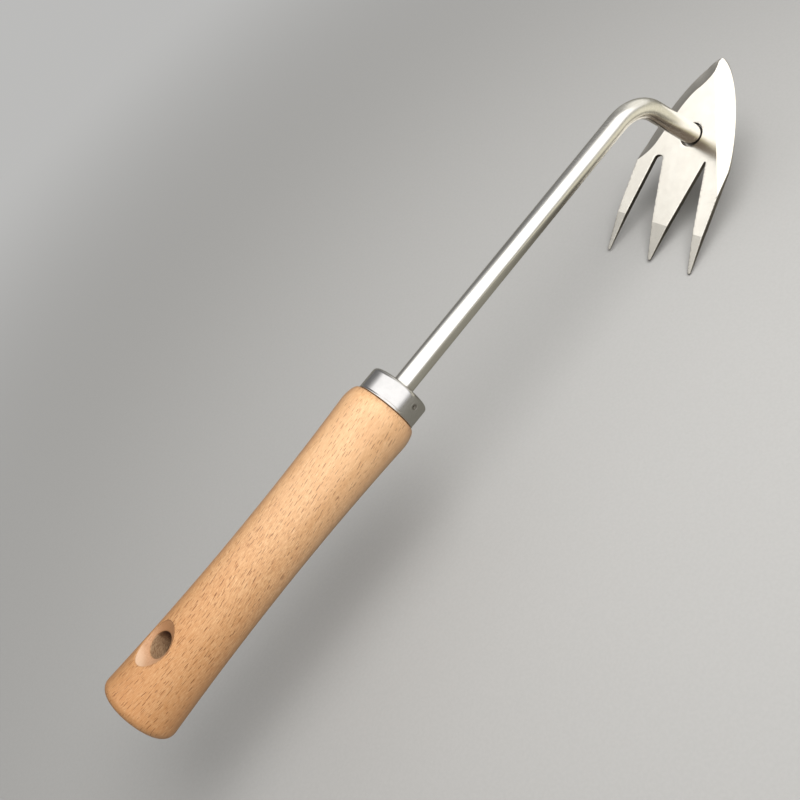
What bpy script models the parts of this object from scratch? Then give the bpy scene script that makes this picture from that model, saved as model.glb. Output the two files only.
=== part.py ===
"""Hand cultivator: a double-ended hand weeder with a turned wooden handle, a
drawn steel ferrule, a bent round shank and a flat head that is a leaf-shaped
blade on one side and a three-tined fork on the other.

Frame: metres, +Z up.  The origin is the centre of the handle's flat butt, +X
runs along the handle to the shank, and the shank bends down towards -Z in the
XZ plane.  The head's polished face looks back up the last stretch of the shank.
Dimensions are in millimetres and are multiplied by MM where geometry is made.
"""

import math
from contextlib import contextmanager

import bmesh
import bpy
from mathutils import Matrix, Vector

MM = 0.001
WELD_DISTANCE = 0.01 * MM

# ---------------------------------------------------------------- dimensions
# handle: stations along +X
HANDLE_END = 130.2          # shoulder face, just behind the ferrule
HANDLE_WAIST_X = 65.0       # thinnest place
HANDLE_WAIST_R = 12.4
HANDLE_SWELL = 1.66         # growth of the radius one span away from the waist
HANDLE_SPAN = 60.0
GRIP_STEPS = 11
BUTT_ROUND = 3.2            # rounding of the butt's rim
SHOULDER_R = 11.9           # radius of the shoulder's flat
SHOULDER_LENGTH = 6.6       # axial length of the shoulder's rounding
TENON_R = 10.5              # turned tenon inside the ferrule
TENON_END = 138.2
TENON_CHAMFER = 0.6
BORE_R = 4.3                # bore for the tang
BORE_BOTTOM = 75.8
BORE_CONE = 1.6             # height of the cone at the bore's bottom
RIM_STEPS = 8               # on the shoulder, butt and ferrule rim

# hanging hole, drilled along Z and countersunk at both mouths
HANG_X = 23.4
HANG_R = 4.5
HANG_SINK_R = 8.6           # radius of the countersink at the handle's surface
HANG_SINK_DEPTH = 2.8       # below the handle's surface
HANG_SURFACE = 13.3
HANG_REACH = 20.0           # half height of the cutter

# ferrule: a cup with its holed front towards +X
FERRULE_START = 130.5
FERRULE_END = 139.6
FERRULE_R = 11.65
FERRULE_WALL = 0.8
FERRULE_ROUND = 1.5
FERRULE_HOLE_R = 4.3
HOLE_CHAMFER = 0.15
MOUTH_CHAMFER = 0.2
PUNCH_X = 136.0             # punch mark on the -Y side
PUNCH_R = 1.35
PUNCH_DEPTH = 0.55
PUNCH_TIP_R = 0.05
PUNCH_OVER = 1.0            # how far the cutter stands out of the wall

# shank: round bar with one bend
ROD_R = 4.0
TANG_START = 78.0
TANG_CHAMFER = 0.7
TANG_TAPER = 0.8            # radius factor at the tang's end
STRAIGHT_STEPS = 6
BEND_CORNER_X = 281.2       # where the two straight centrelines would meet
BEND_ANGLE = math.radians(61.7)
BEND_R = 21.1
BEND_STEPS = 22
LAST_LENGTH = 40.5          # from that corner to the head's polished face
ROD_THROUGH = 3.5           # how far the bar runs on behind the polished face
ROD_END_CHAMFER = 0.5
ROD_END_TAPER = 0.88        # radius factor at the head end

# head plate; its own axes: +X to the blade's point, +Z out of the polished face
PLATE_T = 2.0
PLATE_SHIFT = 0.5           # centreline of the plate, beside the shank's axis
EYE_R = 4.85                # hole for the shank
POINT_X = 31.3
POINT_Y = -0.8              # the point lies a little off the centreline
POINT_R = 1.2
POINT_HALF_ANGLE = math.radians(59.5)
EDGE_CONTROL = (24.5, 11.8)  # where the edges' tangents at the point lead
EDGE_PULL_SHOULDER = 10.0   # length of the edges' tangents at the shoulder
SHOULDER_X = -12.4
SHOULDER_HALF = 22.0
SHOULDER_ANGLE = math.radians(6.0)
TINE_TIP_R = 0.7

# Corners of the fork between the two shoulders, from +Y to -Y:
# (x, y, corner radius).  The slot on the +Y side is the wider one.
FORK = [
    (-34.0, 22.3, 30.0),
    (-52.6, 21.8, TINE_TIP_R),          # +Y tine
    (-52.7, 20.4, TINE_TIP_R),
    (-9.9, 13.3, 1.9),                  # wide slot
    (-9.9, 9.7, 1.9),
    (-52.5, -0.1, TINE_TIP_R),          # middle tine
    (-52.6, -1.5, TINE_TIP_R),
    (-9.9, -10.5, 0.35),                # narrow slot
    (-10.0, -11.2, 0.35),
    (-53.8, -20.6, TINE_TIP_R),         # -Y tine
    (-53.9, -22.0, TINE_TIP_R),
    (-34.0, -22.1, 30.0),
]

# grinds of the polished face
EDGE_T = 0.35               # thickness left at a ground edge
GRIND_DEPTH = PLATE_T - EDGE_T
BEVEL_START = -37.4         # tine bevel on the centreline
BEVEL_SKEW = math.radians(3.4)
BEVEL_END = -53.4
RIGHT_GRIND_X = 0.3         # one point of the -Y grind's inner line
RIGHT_GRIND_Y = -11.6
RIGHT_GRIND_SLOPE = 0.46
RIGHT_GRIND_FULL_Y = 3.0 - SHOULDER_HALF    # full depth, straight across from it
SLAB_SIZE = (160.0, 60.0, 12.0)

# Inner line of the +Y grind, from the point to the shoulder: three Bezier
# spans, each of four (x, y) control points
OGEE_SPANS = [
    ((POINT_X - 2.0, POINT_Y - 0.2), (26.6, -0.6), (22.0, 1.0), (18.2, 5.0)),
    ((18.2, 5.0), (13.0, 9.6), (2.0, 12.6), (-5.0, 15.4)),
    ((-5.0, 15.4), (-7.8, 16.4), (-11.6, 19.4), (-14.6, 23.4)),
]
OGEE_STEPS = 9              # per span
OGEE_TURN_START = 52.0      # outward direction at the point, degrees from +X
OGEE_TURN_END = 88.0
OGEE_TURN_RATE = 1.5        # the turn is complete at 1/1.5 of the line
OGEE_ASIDE_WEIGHT = 3.0     # favours edge points straight out from the line
OGEE_MIN_WIDTH = 1.2
OGEE_OVERREACH = 9.0        # how far the cutter runs past the blade's edge
OGEE_FADE_IN = 0.1          # share of the line where the depth grows
OGEE_FIRST_DEPTH = 0.35     # share of the depth at the point
OGEE_FADE_OUT = 0.14        # share of the line where the depth dies out
OGEE_TOP = 3.0              # top of the cutter above the polished face

# weld bead behind the plate
BEAD_IN_R = 4.3
BEAD_OUT_R = 7.7
BEAD_CROWN_R = BEAD_IN_R + 0.7
BEAD_FULLNESS = 0.9         # exponent of the section's outline
BEAD_INNER_SHARE = 0.9      # height at the inner wall, as a share of the crown's
BEAD_H = 1.7
BEAD_GAP = 0.3
BEAD_RIPPLES = 20
RIPPLE_LAG = 0.11           # radians a ripple trails per millimetre outwards
RIPPLE_HEIGHT = 0.14        # share of the bead's height
RIPPLE_SPREAD = 0.012       # share of the radius
RIPPLE_MIN_DEPTH = 0.05     # vertices nearer the flat stay put
RIPPLE_MIN_OUT = 0.1        # so do those this near the inner wall

# mesh resolution
ROUND_STEPS = 80
ROD_STEPS = 36
HANG_STEPS = 64
PUNCH_STEPS = 28
EYE_STEPS = 56
BEAD_STEPS = BEAD_RIPPLES * 4

LIE_ALONG_X = (0.0, math.radians(90.0), 0.0)    # turned axis Z -> world +X

# --------------------------------------------------------------------- scene
for old in list(bpy.data.objects):
    bpy.data.objects.remove(old, do_unlink=True)

parts = bpy.data.collections.new("hand_cultivator")
cutters = bpy.data.collections.new("cutters")
bpy.context.scene.collection.children.link(parts)
bpy.context.scene.collection.children.link(cutters)


# ----------------------------------------------------------------- materials
def material(name, color, metallic, roughness):
    mat = bpy.data.materials.new(name)
    mat.use_nodes = True
    bsdf = mat.node_tree.nodes["Principled BSDF"]
    bsdf.inputs["Base Color"].default_value = (*color, 1.0)
    bsdf.inputs["Metallic"].default_value = metallic
    bsdf.inputs["Roughness"].default_value = roughness
    mat.diffuse_color = (*color, 1.0)
    return mat


beech = material("beech", color=(0.72, 0.50, 0.30), metallic=0.0, roughness=0.5)
satin_steel = material("satin_steel", color=(0.62, 0.62, 0.62), metallic=1.0, roughness=0.35)
drawn_steel = material("drawn_steel", color=(0.66, 0.65, 0.62), metallic=1.0, roughness=0.25)
polished_steel = material("polished_steel", color=(0.80, 0.79, 0.76), metallic=1.0,
                          roughness=0.12)
weld_steel = material("weld_steel", color=(0.42, 0.40, 0.38), metallic=1.0, roughness=0.5)


# ------------------------------------------------------------ object helpers
@contextmanager
def editing(mesh):
    """Open a mesh as a bmesh and write it back afterwards."""
    bm = bmesh.new()
    bm.from_mesh(mesh)
    yield bm
    bm.to_mesh(mesh)
    bm.free()


def weld(bm):
    bmesh.ops.remove_doubles(bm, verts=bm.verts[:], dist=WELD_DISTANCE)


def face_outwards(bm):
    bmesh.ops.recalc_face_normals(bm, faces=bm.faces[:])


def set_materials(mesh, materials):
    mesh.materials.clear()
    for mat in materials:
        mesh.materials.append(mat)


def new_part(name, data, mat):
    obj = bpy.data.objects.new(name, data)
    parts.objects.link(obj)
    set_materials(data, [mat])
    return obj


def new_cutter(name, mesh):
    obj = bpy.data.objects.new(name, mesh)
    cutters.objects.link(obj)
    obj.hide_render = True
    obj.display_type = "WIRE"
    return obj


def evaluated_mesh(obj):
    bpy.context.view_layer.update()
    graph = bpy.context.evaluated_depsgraph_get()
    return bpy.data.meshes.new_from_object(obj.evaluated_get(graph))


def settle(obj):
    """Bake the object's modifiers into its mesh, keeping its materials."""
    mesh = evaluated_mesh(obj)
    materials = list(obj.data.materials)
    obj.modifiers.clear()
    obj.data = mesh
    if materials:
        set_materials(mesh, materials)


def profile_mesh(name, points):
    """Open chain of edges in the XZ plane; points are (radius, height)."""
    mesh = bpy.data.meshes.new(name)
    with editing(mesh) as bm:
        verts = [bm.verts.new((r * MM, 0.0, z * MM)) for r, z in points]
        for start, end in zip(verts, verts[1:]):
            bm.edges.new((start, end))
    return mesh


def turn(obj, steps):
    """Revolve the object's profile about its own Z."""
    screw = obj.modifiers.new("turn", "SCREW")
    screw.axis = "Z"
    screw.angle = math.tau
    screw.steps = steps
    screw.render_steps = steps
    screw.use_merge_vertices = True
    screw.merge_threshold = WELD_DISTANCE
    screw.use_smooth_shade = True
    settle(obj)


def cone_cutter(name, segments, base_r, top_r, height):
    """Cone or cylinder about its own Z, centred, with its base at -Z."""
    mesh = bpy.data.meshes.new(name)
    with editing(mesh) as bm:
        bmesh.ops.create_cone(bm, cap_ends=True, segments=segments, radius1=base_r * MM,
                              radius2=top_r * MM, depth=height * MM)
    return new_cutter(name, mesh)


def poly_curve(name, dimensions, points):
    """Curve of straight segments; points are (x, y, z, radius factor)."""
    curve = bpy.data.curves.new(name, "CURVE")
    curve.dimensions = dimensions
    curve.resolution_u = 1
    curve.render_resolution_u = 0
    spline = curve.splines.new("POLY")
    spline.points.add(len(points) - 1)
    for point, (x, y, z, factor) in zip(spline.points, points):
        point.co = (x * MM, y * MM, z * MM, 1.0)
        point.radius = factor
    return curve


def part_from_curve(name, curve, mat):
    """Mesh part made from a curve, with its caps welded on."""
    source = bpy.data.objects.new(curve.name, curve)
    parts.objects.link(source)
    mesh = evaluated_mesh(source)
    mesh.name = name
    with editing(mesh) as bm:
        weld(bm)
        face_outwards(bm)
    bpy.data.objects.remove(source, do_unlink=True)
    bpy.data.curves.remove(curve)
    return new_part(name, mesh, mat)


def cut(obj, cutter):
    mod = obj.modifiers.new("cut_" + cutter.name, "BOOLEAN")
    mod.operation = "DIFFERENCE"
    mod.solver = "EXACT"
    mod.object = cutter


def smooth(obj, angle):
    """Smooth shading with edges sharper than angle (degrees) kept sharp."""
    obj.data.shade_smooth()
    obj.data.set_sharp_from_angle(angle=math.radians(angle))


# ------------------------------------------------------------- point helpers
def arc(centre_x, centre_y, radius, start, end, steps):
    """Points of an arc, both ends included; angles in degrees."""
    points = []
    for i in range(steps + 1):
        angle = math.radians(start + (end - start) * i / steps)
        points.append((centre_x + radius * math.cos(angle),
                       centre_y + radius * math.sin(angle)))
    return points


def bezier(p0, p1, p2, p3, steps):
    """Points of a cubic Bezier span, both ends included."""
    points = []
    for i in range(steps + 1):
        t = i / steps
        u = 1.0 - t
        points.append(tuple(u ** 3 * a + 3 * u * u * t * b + 3 * u * t * t * c + t ** 3 * d
                            for a, b, c, d in zip(p0, p1, p2, p3)))
    return points


def rounded_corner(previous, corner, following, steps=6):
    """Arc that rounds an (x, y, radius) corner between its neighbours."""
    place = Vector(corner[:2])
    radius = corner[2]
    back = (Vector(previous[:2]) - place).normalized()
    ahead = (Vector(following[:2]) - place).normalized()
    half = back.angle(ahead) / 2
    reach = radius / math.tan(half)
    centre = place + (back + ahead).normalized() * (radius / math.sin(half))
    first = place + back * reach - centre
    last = place + ahead * reach - centre
    start = math.atan2(first.y, first.x)
    end = math.atan2(last.y, last.x)
    # go the short way round
    if end - start > math.pi:
        end -= math.tau
    elif end - start < -math.pi:
        end += math.tau
    return arc(centre.x, centre.y, radius, math.degrees(start), math.degrees(end), steps)


# -------------------------------------------------------------------- handle
def handle_radius(x):
    spans = (x - HANDLE_WAIST_X) / HANDLE_SPAN
    return HANDLE_WAIST_R + HANDLE_SWELL * spans * spans


def handle_profile():
    """From the bottom of the tang's bore, out over the tenon and the shoulder,
    down the waisted grip and over the rounded butt to the axis."""
    points = [
        (0.0, BORE_BOTTOM),
        (BORE_R, BORE_BOTTOM + BORE_CONE),
        (BORE_R, TENON_END - TENON_CHAMFER),
        (BORE_R + TENON_CHAMFER, TENON_END),
        (TENON_R - TENON_CHAMFER, TENON_END),
        (TENON_R, TENON_END - TENON_CHAMFER),
        (TENON_R, HANDLE_END),
    ]
    # shoulder: quarter of an ellipse from the flat out to the grip
    grip_top = HANDLE_END - SHOULDER_LENGTH
    top_r = handle_radius(grip_top)
    for i in range(RIM_STEPS + 1):
        angle = math.radians(90.0 * i / RIM_STEPS)
        points.append((SHOULDER_R + (top_r - SHOULDER_R) * math.sin(angle),
                       grip_top + SHOULDER_LENGTH * math.cos(angle)))
    # waisted grip
    for i in range(1, GRIP_STEPS):
        x = grip_top + (BUTT_ROUND - grip_top) * i / GRIP_STEPS
        points.append((handle_radius(x), x))
    # butt
    points += arc(handle_radius(BUTT_ROUND) - BUTT_ROUND, BUTT_ROUND, BUTT_ROUND,
                  0.0, -90.0, RIM_STEPS)
    points.append((0.0, 0.0))
    return points


def hanging_hole_cutter():
    """Bore with a wide countersink at each mouth."""
    sink_z = HANG_SURFACE - HANG_SINK_DEPTH
    far_r = HANG_R + (HANG_REACH - sink_z) * (HANG_SINK_R - HANG_R) / HANG_SINK_DEPTH
    profile = [(0.0, HANG_REACH), (far_r, HANG_REACH), (HANG_R, sink_z),
               (HANG_R, -sink_z), (far_r, -HANG_REACH), (0.0, -HANG_REACH)]
    name = "hanging_hole_cutter"
    cutter = new_cutter(name, profile_mesh(name, profile))
    cutter.location = (HANG_X * MM, 0.0, 0.0)
    turn(cutter, HANG_STEPS)
    return cutter


def build_handle():
    handle = new_part("handle", profile_mesh("handle", handle_profile()), beech)
    handle.rotation_euler = LIE_ALONG_X
    turn(handle, ROUND_STEPS)
    cut(handle, hanging_hole_cutter())
    settle(handle)
    smooth(handle, 35)


# ------------------------------------------------------------------- ferrule
def ferrule_profile():
    """Closed loop: hole wall, front, rounded rim, outer wall, mouth, inner
    wall and the inside of the front."""
    inner_r = FERRULE_R - FERRULE_WALL
    fillet = FERRULE_ROUND - FERRULE_WALL
    round_start = FERRULE_END - FERRULE_ROUND
    hole_inside = (FERRULE_HOLE_R, FERRULE_END - FERRULE_WALL)
    return [
        hole_inside,
        (FERRULE_HOLE_R, FERRULE_END - HOLE_CHAMFER),
        (FERRULE_HOLE_R + HOLE_CHAMFER, FERRULE_END),
        *arc(FERRULE_R - FERRULE_ROUND, round_start, FERRULE_ROUND, 90.0, 0.0, RIM_STEPS),
        (FERRULE_R, FERRULE_START + MOUTH_CHAMFER),
        (FERRULE_R - MOUTH_CHAMFER, FERRULE_START),
        (inner_r, FERRULE_START),
        *arc(inner_r - fillet, round_start, fillet, 0.0, 90.0, 4),
        hole_inside,
    ]


def punch_cutter():
    """Small cone pressed into the wall that faces -Y, narrow end towards +Y."""
    height = PUNCH_DEPTH + PUNCH_OVER
    punch = cone_cutter("punch_cutter", PUNCH_STEPS, base_r=PUNCH_R * height / PUNCH_DEPTH,
                        top_r=PUNCH_TIP_R, height=height)
    punch.rotation_euler = (math.radians(-90.0), 0.0, 0.0)
    punch.location = (PUNCH_X * MM, (-FERRULE_R + PUNCH_DEPTH - height / 2) * MM, 0.0)
    return punch


def build_ferrule():
    ferrule = new_part("ferrule", profile_mesh("ferrule", ferrule_profile()), satin_steel)
    ferrule.rotation_euler = LIE_ALONG_X
    turn(ferrule, ROUND_STEPS)
    with editing(ferrule.data) as bm:
        weld(bm)
        face_outwards(bm)
    cut(ferrule, punch_cutter())
    settle(ferrule)
    smooth(ferrule, 35)


# --------------------------------------------------------------------- shank
LAST_DIRECTION = Vector((math.cos(BEND_ANGLE), 0.0, -math.sin(BEND_ANGLE)))


def shank_points():
    """(x, y, z, radius factor) along the bar's centreline."""
    tangent = BEND_R * math.tan(BEND_ANGLE / 2)
    bend_start = BEND_CORNER_X - tangent
    points = [(TANG_START, 0.0, 0.0, TANG_TAPER), (TANG_START + TANG_CHAMFER, 0.0, 0.0, 1.0)]
    for i in range(1, STRAIGHT_STEPS):
        x = TANG_START + (bend_start - TANG_START) * i / STRAIGHT_STEPS
        points.append((x, 0.0, 0.0, 1.0))
    for i in range(BEND_STEPS + 1):
        angle = BEND_ANGLE * i / BEND_STEPS
        points.append((bend_start + BEND_R * math.sin(angle), 0.0,
                       -BEND_R + BEND_R * math.cos(angle), 1.0))
    end = LAST_LENGTH + ROD_THROUGH
    # (distance from the bend's corner, radius factor)
    last_stretch = [(tangent + (end - tangent) * 0.35, 1.0),
                    (tangent + (end - tangent) * 0.7, 1.0),
                    (end - ROD_END_CHAMFER, 1.0),
                    (end, ROD_END_TAPER)]
    for along, factor in last_stretch:
        points.append((BEND_CORNER_X + LAST_DIRECTION.x * along, 0.0,
                       LAST_DIRECTION.z * along, factor))
    return points


def build_shank():
    curve = poly_curve("shank_path", "3D", shank_points())
    curve.bevel_depth = ROD_R * MM
    curve.bevel_resolution = ROD_STEPS // 2 - 1
    curve.use_fill_caps = True
    shank = part_from_curve("shank", curve, drawn_steel)
    smooth(shank, 35)


# ---------------------------------------------------------------- head plate
face_centre = Vector((BEND_CORNER_X, 0.0, 0.0)) * MM + LAST_DIRECTION * (LAST_LENGTH * MM)
HEAD_FRAME = (Matrix.Translation(face_centre + Vector((0.0, PLATE_SHIFT * MM, 0.0)))
              @ Matrix.Rotation(BEND_ANGLE - math.radians(90.0), 4, "Y"))
PLATE_MIDDLE = HEAD_FRAME @ Matrix.Translation((0.0, 0.0, -PLATE_T / 2 * MM))


def blade_edge(side, steps=26):
    """One edge of the blade, from the point's rounding to the shoulder; side
    is 1 for +Y and -1 for -Y."""
    start = (POINT_X - POINT_R + POINT_R * math.sin(POINT_HALF_ANGLE),
             POINT_Y + side * POINT_R * math.cos(POINT_HALF_ANGLE))
    end = (SHOULDER_X, side * SHOULDER_HALF)
    end_control = (end[0] + EDGE_PULL_SHOULDER * math.cos(SHOULDER_ANGLE),
                   end[1] - side * EDGE_PULL_SHOULDER * math.sin(SHOULDER_ANGLE))
    return bezier(start, (EDGE_CONTROL[0], side * EDGE_CONTROL[1]), end_control, end, steps)


def plate_outline():
    """From the -Y shoulder round the point to the +Y shoulder, then the fork."""
    half = 90.0 - math.degrees(POINT_HALF_ANGLE)
    points = blade_edge(-1)[::-1]
    points += arc(POINT_X - POINT_R, POINT_Y, POINT_R, -half, half, 6)[1:]
    points += blade_edge(1)[1:]
    corners = [(SHOULDER_X, SHOULDER_HALF), *FORK, (SHOULDER_X, -SHOULDER_HALF)]
    for previous, corner, following in zip(corners, corners[1:], corners[2:]):
        points += rounded_corner(previous, corner, following)
    return points


def slab_cutter(name, line_start, line_dir, fall):
    """A long box whose lower face passes through a line of the polished face
    and falls away at the angle fall, to the left of the line's direction."""
    length, width, height = SLAB_SIZE
    mesh = bpy.data.meshes.new(name)
    with editing(mesh) as bm:
        bmesh.ops.create_cube(bm, size=1.0)
        bmesh.ops.scale(bm, vec=(length * MM, width * MM, height * MM), verts=bm.verts[:])
        # lower face at z = 0, near edge at y = 0
        bmesh.ops.translate(bm, vec=(0.0, width / 2 * MM, height / 2 * MM), verts=bm.verts[:])
    slab = new_cutter(name, mesh)
    slab.matrix_world = (HEAD_FRAME
                         @ Matrix.Translation((line_start[0] * MM, line_start[1] * MM, 0.0))
                         @ Matrix.Rotation(math.atan2(line_dir[1], line_dir[0]), 4, "Z")
                         @ Matrix.Rotation(-fall, 4, "X"))
    return slab


def tine_grind_cutter():
    """One plane across all three tines."""
    return slab_cutter("tine_grind_cutter", (BEVEL_START, 0.0),
                       (math.sin(BEVEL_SKEW), math.cos(BEVEL_SKEW)),
                       fall=math.atan2(GRIND_DEPTH, BEVEL_START - BEVEL_END))


def right_grind_cutter():
    """-Y side of the blade: one wide plane that runs out on the outer tine."""
    line = Vector((-1.0, -RIGHT_GRIND_SLOPE)).normalized()
    reach = abs((RIGHT_GRIND_Y - RIGHT_GRIND_FULL_Y) * line.x)
    return slab_cutter("right_grind_cutter", (RIGHT_GRIND_X, RIGHT_GRIND_Y), line,
                       fall=math.atan2(GRIND_DEPTH, reach))


def ogee_line():
    points = bezier(*OGEE_SPANS[0], OGEE_STEPS)
    for span in OGEE_SPANS[1:]:
        points += bezier(*span, OGEE_STEPS)[1:]
    return points


def ogee_depth(share):
    """Depth of the +Y grind at the blade's edge, at a share of the ogee line."""
    if share > 1.0 - OGEE_FADE_OUT:
        return GRIND_DEPTH * (1.0 - share) / OGEE_FADE_OUT
    if share < OGEE_FADE_IN:
        growth = (1.0 - OGEE_FIRST_DEPTH) * share / OGEE_FADE_IN
        return GRIND_DEPTH * (OGEE_FIRST_DEPTH + growth)
    return GRIND_DEPTH


def ogee_section(x, y, share, edge_line):
    """Corners of a wedge that falls from the ogee line to beyond the blade's
    edge and is closed above the plate."""
    # the outward direction swings from across the point to nearly +Y
    swing = min(1.0, share * OGEE_TURN_RATE)
    angle = math.radians(OGEE_TURN_START + (OGEE_TURN_END - OGEE_TURN_START) * swing)
    out = Vector((math.cos(angle), math.sin(angle)))
    to_edge = [Vector(point) - Vector((x, y)) for point in edge_line]
    distance = min(gap.length + abs(gap.cross(out)) * OGEE_ASIDE_WEIGHT for gap in to_edge)
    width = max(distance, OGEE_MIN_WIDTH)
    reach = width + OGEE_OVERREACH
    drop = ogee_depth(share) * reach / width
    far_x = x + out.x * reach
    far_y = y + out.y * reach
    return [(x, y, 0.0), (far_x, far_y, -drop), (far_x, far_y, OGEE_TOP), (x, y, OGEE_TOP)]


def hollow_grind_cutter():
    """+Y side of the blade: a loft of wedges along the ogee line."""
    inner = ogee_line()
    edge_line = blade_edge(1, 60)
    mesh = bpy.data.meshes.new("hollow_grind_cutter")
    with editing(mesh) as bm:
        sections = []
        for i, (x, y) in enumerate(inner):
            corners = ogee_section(x, y, i / (len(inner) - 1), edge_line)
            sections.append([bm.verts.new([value * MM for value in corner])
                             for corner in corners])
        for near, far in zip(sections, sections[1:]):
            for k in range(4):
                following = (k + 1) % 4
                bm.faces.new((near[k], near[following], far[following], far[k]))
        bm.faces.new(sections[0][::-1])
        bm.faces.new(sections[-1])
        face_outwards(bm)
    cutter = new_cutter("hollow_grind_cutter", mesh)
    cutter.matrix_world = HEAD_FRAME
    return cutter


def eye_cutter():
    eye = cone_cutter("eye_cutter", EYE_STEPS, base_r=EYE_R, top_r=EYE_R, height=3 * PLATE_T)
    eye.matrix_world = PLATE_MIDDLE
    return eye


def build_head():
    curve = poly_curve("plate_outline", "2D", [(x, y, 0.0, 1.0) for x, y in plate_outline()])
    curve.fill_mode = "BOTH"
    curve.extrude = PLATE_T / 2 * MM
    curve.splines[0].use_cyclic_u = True
    head = part_from_curve("head_plate", curve, polished_steel)
    head.matrix_world = PLATE_MIDDLE
    cut(head, eye_cutter())
    cut(head, tine_grind_cutter())
    cut(head, right_grind_cutter())
    cut(head, hollow_grind_cutter())
    settle(head)
    with editing(head.data) as bm:
        weld(bm)
    smooth(head, 20)


# ----------------------------------------------------------------- weld bead
def bead_profile():
    """Closed loop with its flat on z = 0 and its crown towards -Z."""
    points = [(BEAD_IN_R, 0.0), (BEAD_OUT_R, 0.0)]
    for i in range(1, 9):
        angle = math.radians(90.0 * i / 8)
        points.append((BEAD_CROWN_R
                       + (BEAD_OUT_R - BEAD_CROWN_R) * math.cos(angle) ** BEAD_FULLNESS,
                       -BEAD_H * math.sin(angle)))
    points.append((BEAD_IN_R, -BEAD_H * BEAD_INNER_SHARE))
    points.append((BEAD_IN_R, 0.0))
    return points


def ripple(bm):
    """Press slightly trailing ripples into the bead's outer surface."""
    for vert in bm.verts:
        radius = math.hypot(vert.co.x, vert.co.y)
        if vert.co.z < -RIPPLE_MIN_DEPTH * MM and radius > (BEAD_IN_R + RIPPLE_MIN_OUT) * MM:
            angle = math.atan2(vert.co.y, vert.co.x)
            lag = (radius / MM - BEAD_IN_R) * RIPPLE_LAG
            wave = abs(math.sin((angle + lag) * BEAD_RIPPLES / 2))
            spread = 1.0 + RIPPLE_SPREAD * (wave - 0.5)
            vert.co.x *= spread
            vert.co.y *= spread
            vert.co.z *= 1.0 - RIPPLE_HEIGHT + RIPPLE_HEIGHT * wave


def build_bead():
    bead = new_part("weld_bead", profile_mesh("weld_bead", bead_profile()), weld_steel)
    turn(bead, BEAD_STEPS)
    with editing(bead.data) as bm:
        weld(bm)
        ripple(bm)
        face_outwards(bm)
    # centred on the shank, so the plate's shift is taken back
    bead.matrix_world = HEAD_FRAME @ Matrix.Translation(
        (0.0, -PLATE_SHIFT * MM, -(PLATE_T + BEAD_GAP) * MM))
    smooth(bead, 50)


build_handle()
build_ferrule()
build_shank()
build_head()
build_bead()
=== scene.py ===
"""Looks of a hand cultivator: fine meshes and procedural materials around the CAD pieces.

Row frame: metres, origin at the butt of the handle, +X along the handle.  The bar
bends down in the XZ plane and carries a plate with a blade (its +X end) and tines
(its -X end).  Shapes are worked out in millimetres.
"""

import math

import bmesh
import bpy
import numpy as np
from mathutils import Matrix, Vector
from mathutils.geometry import delaunay_2d_cdt


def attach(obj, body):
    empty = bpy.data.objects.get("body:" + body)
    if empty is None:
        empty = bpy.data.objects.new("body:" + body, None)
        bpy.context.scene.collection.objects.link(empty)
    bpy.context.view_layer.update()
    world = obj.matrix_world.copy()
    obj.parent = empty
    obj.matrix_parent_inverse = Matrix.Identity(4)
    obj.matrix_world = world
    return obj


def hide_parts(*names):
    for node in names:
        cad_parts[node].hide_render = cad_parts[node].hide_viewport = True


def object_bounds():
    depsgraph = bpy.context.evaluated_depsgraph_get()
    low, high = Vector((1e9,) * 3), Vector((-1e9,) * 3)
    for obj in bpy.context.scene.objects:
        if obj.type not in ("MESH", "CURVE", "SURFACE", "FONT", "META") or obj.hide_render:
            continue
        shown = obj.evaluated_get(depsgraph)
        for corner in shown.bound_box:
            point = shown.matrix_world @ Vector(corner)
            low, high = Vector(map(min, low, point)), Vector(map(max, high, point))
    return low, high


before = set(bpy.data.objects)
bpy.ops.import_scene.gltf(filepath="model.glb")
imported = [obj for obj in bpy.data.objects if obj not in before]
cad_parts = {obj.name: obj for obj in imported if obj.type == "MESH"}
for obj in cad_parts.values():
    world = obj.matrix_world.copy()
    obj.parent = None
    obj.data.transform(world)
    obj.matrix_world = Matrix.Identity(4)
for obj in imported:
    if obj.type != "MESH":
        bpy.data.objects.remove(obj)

cad_lo, cad_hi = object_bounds()
MM = 0.001

# ------------------------------------------------------------ shape constants
# bar: straight from the tang, one bend, then a short last leg through the plate
ROD_R, ROD_CLEARANCE, TANG_START = 4.0, 0.3, 78.0
BEND_CORNER_X, BEND_ANGLE, BEND_R = 281.2, math.radians(61.7), 21.1
LAST_LENGTH, ROD_THROUGH = 40.5, 3.5
ROD_HOLE_R = ROD_R + ROD_CLEARANCE

# handle: waisted grip, rounded shoulder, tenon under the ferrule, bore for the bar
HANDLE_END = 130.2
WAIST_X, WAIST_R, SWELL, SPAN = 65.0, 12.4, 1.66, 60.0
BUTT_ROUND = 3.2
SHOULDER_R, SHOULDER_LENGTH = 11.9, 6.6
TENON_R, TENON_END, TENON_CHAMFER = 10.5, 138.2, 0.6
BORE_BOTTOM, BORE_POINT = 75.8, 1.6

# hole across the handle, along Z, countersunk from both sides
HANG_X, HANG_R = 23.4, 4.5
HANG_SINK_R, HANG_SINK_DEPTH, HANG_SURFACE = 8.6, 2.8, 13.3
SINK_LOW = HANG_SURFACE - HANG_SINK_DEPTH
SINK_RUN = (HANG_SINK_R - HANG_R) / HANG_SINK_DEPTH

FERRULE_START, FERRULE_END, FERRULE_R = 130.5, 139.6, 11.65
FERRULE_WALL, FERRULE_ROUND = 0.8, 1.5
PUNCH_X, PUNCH_R, PUNCH_DEPTH = 136.0, 1.35, 0.55

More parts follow.
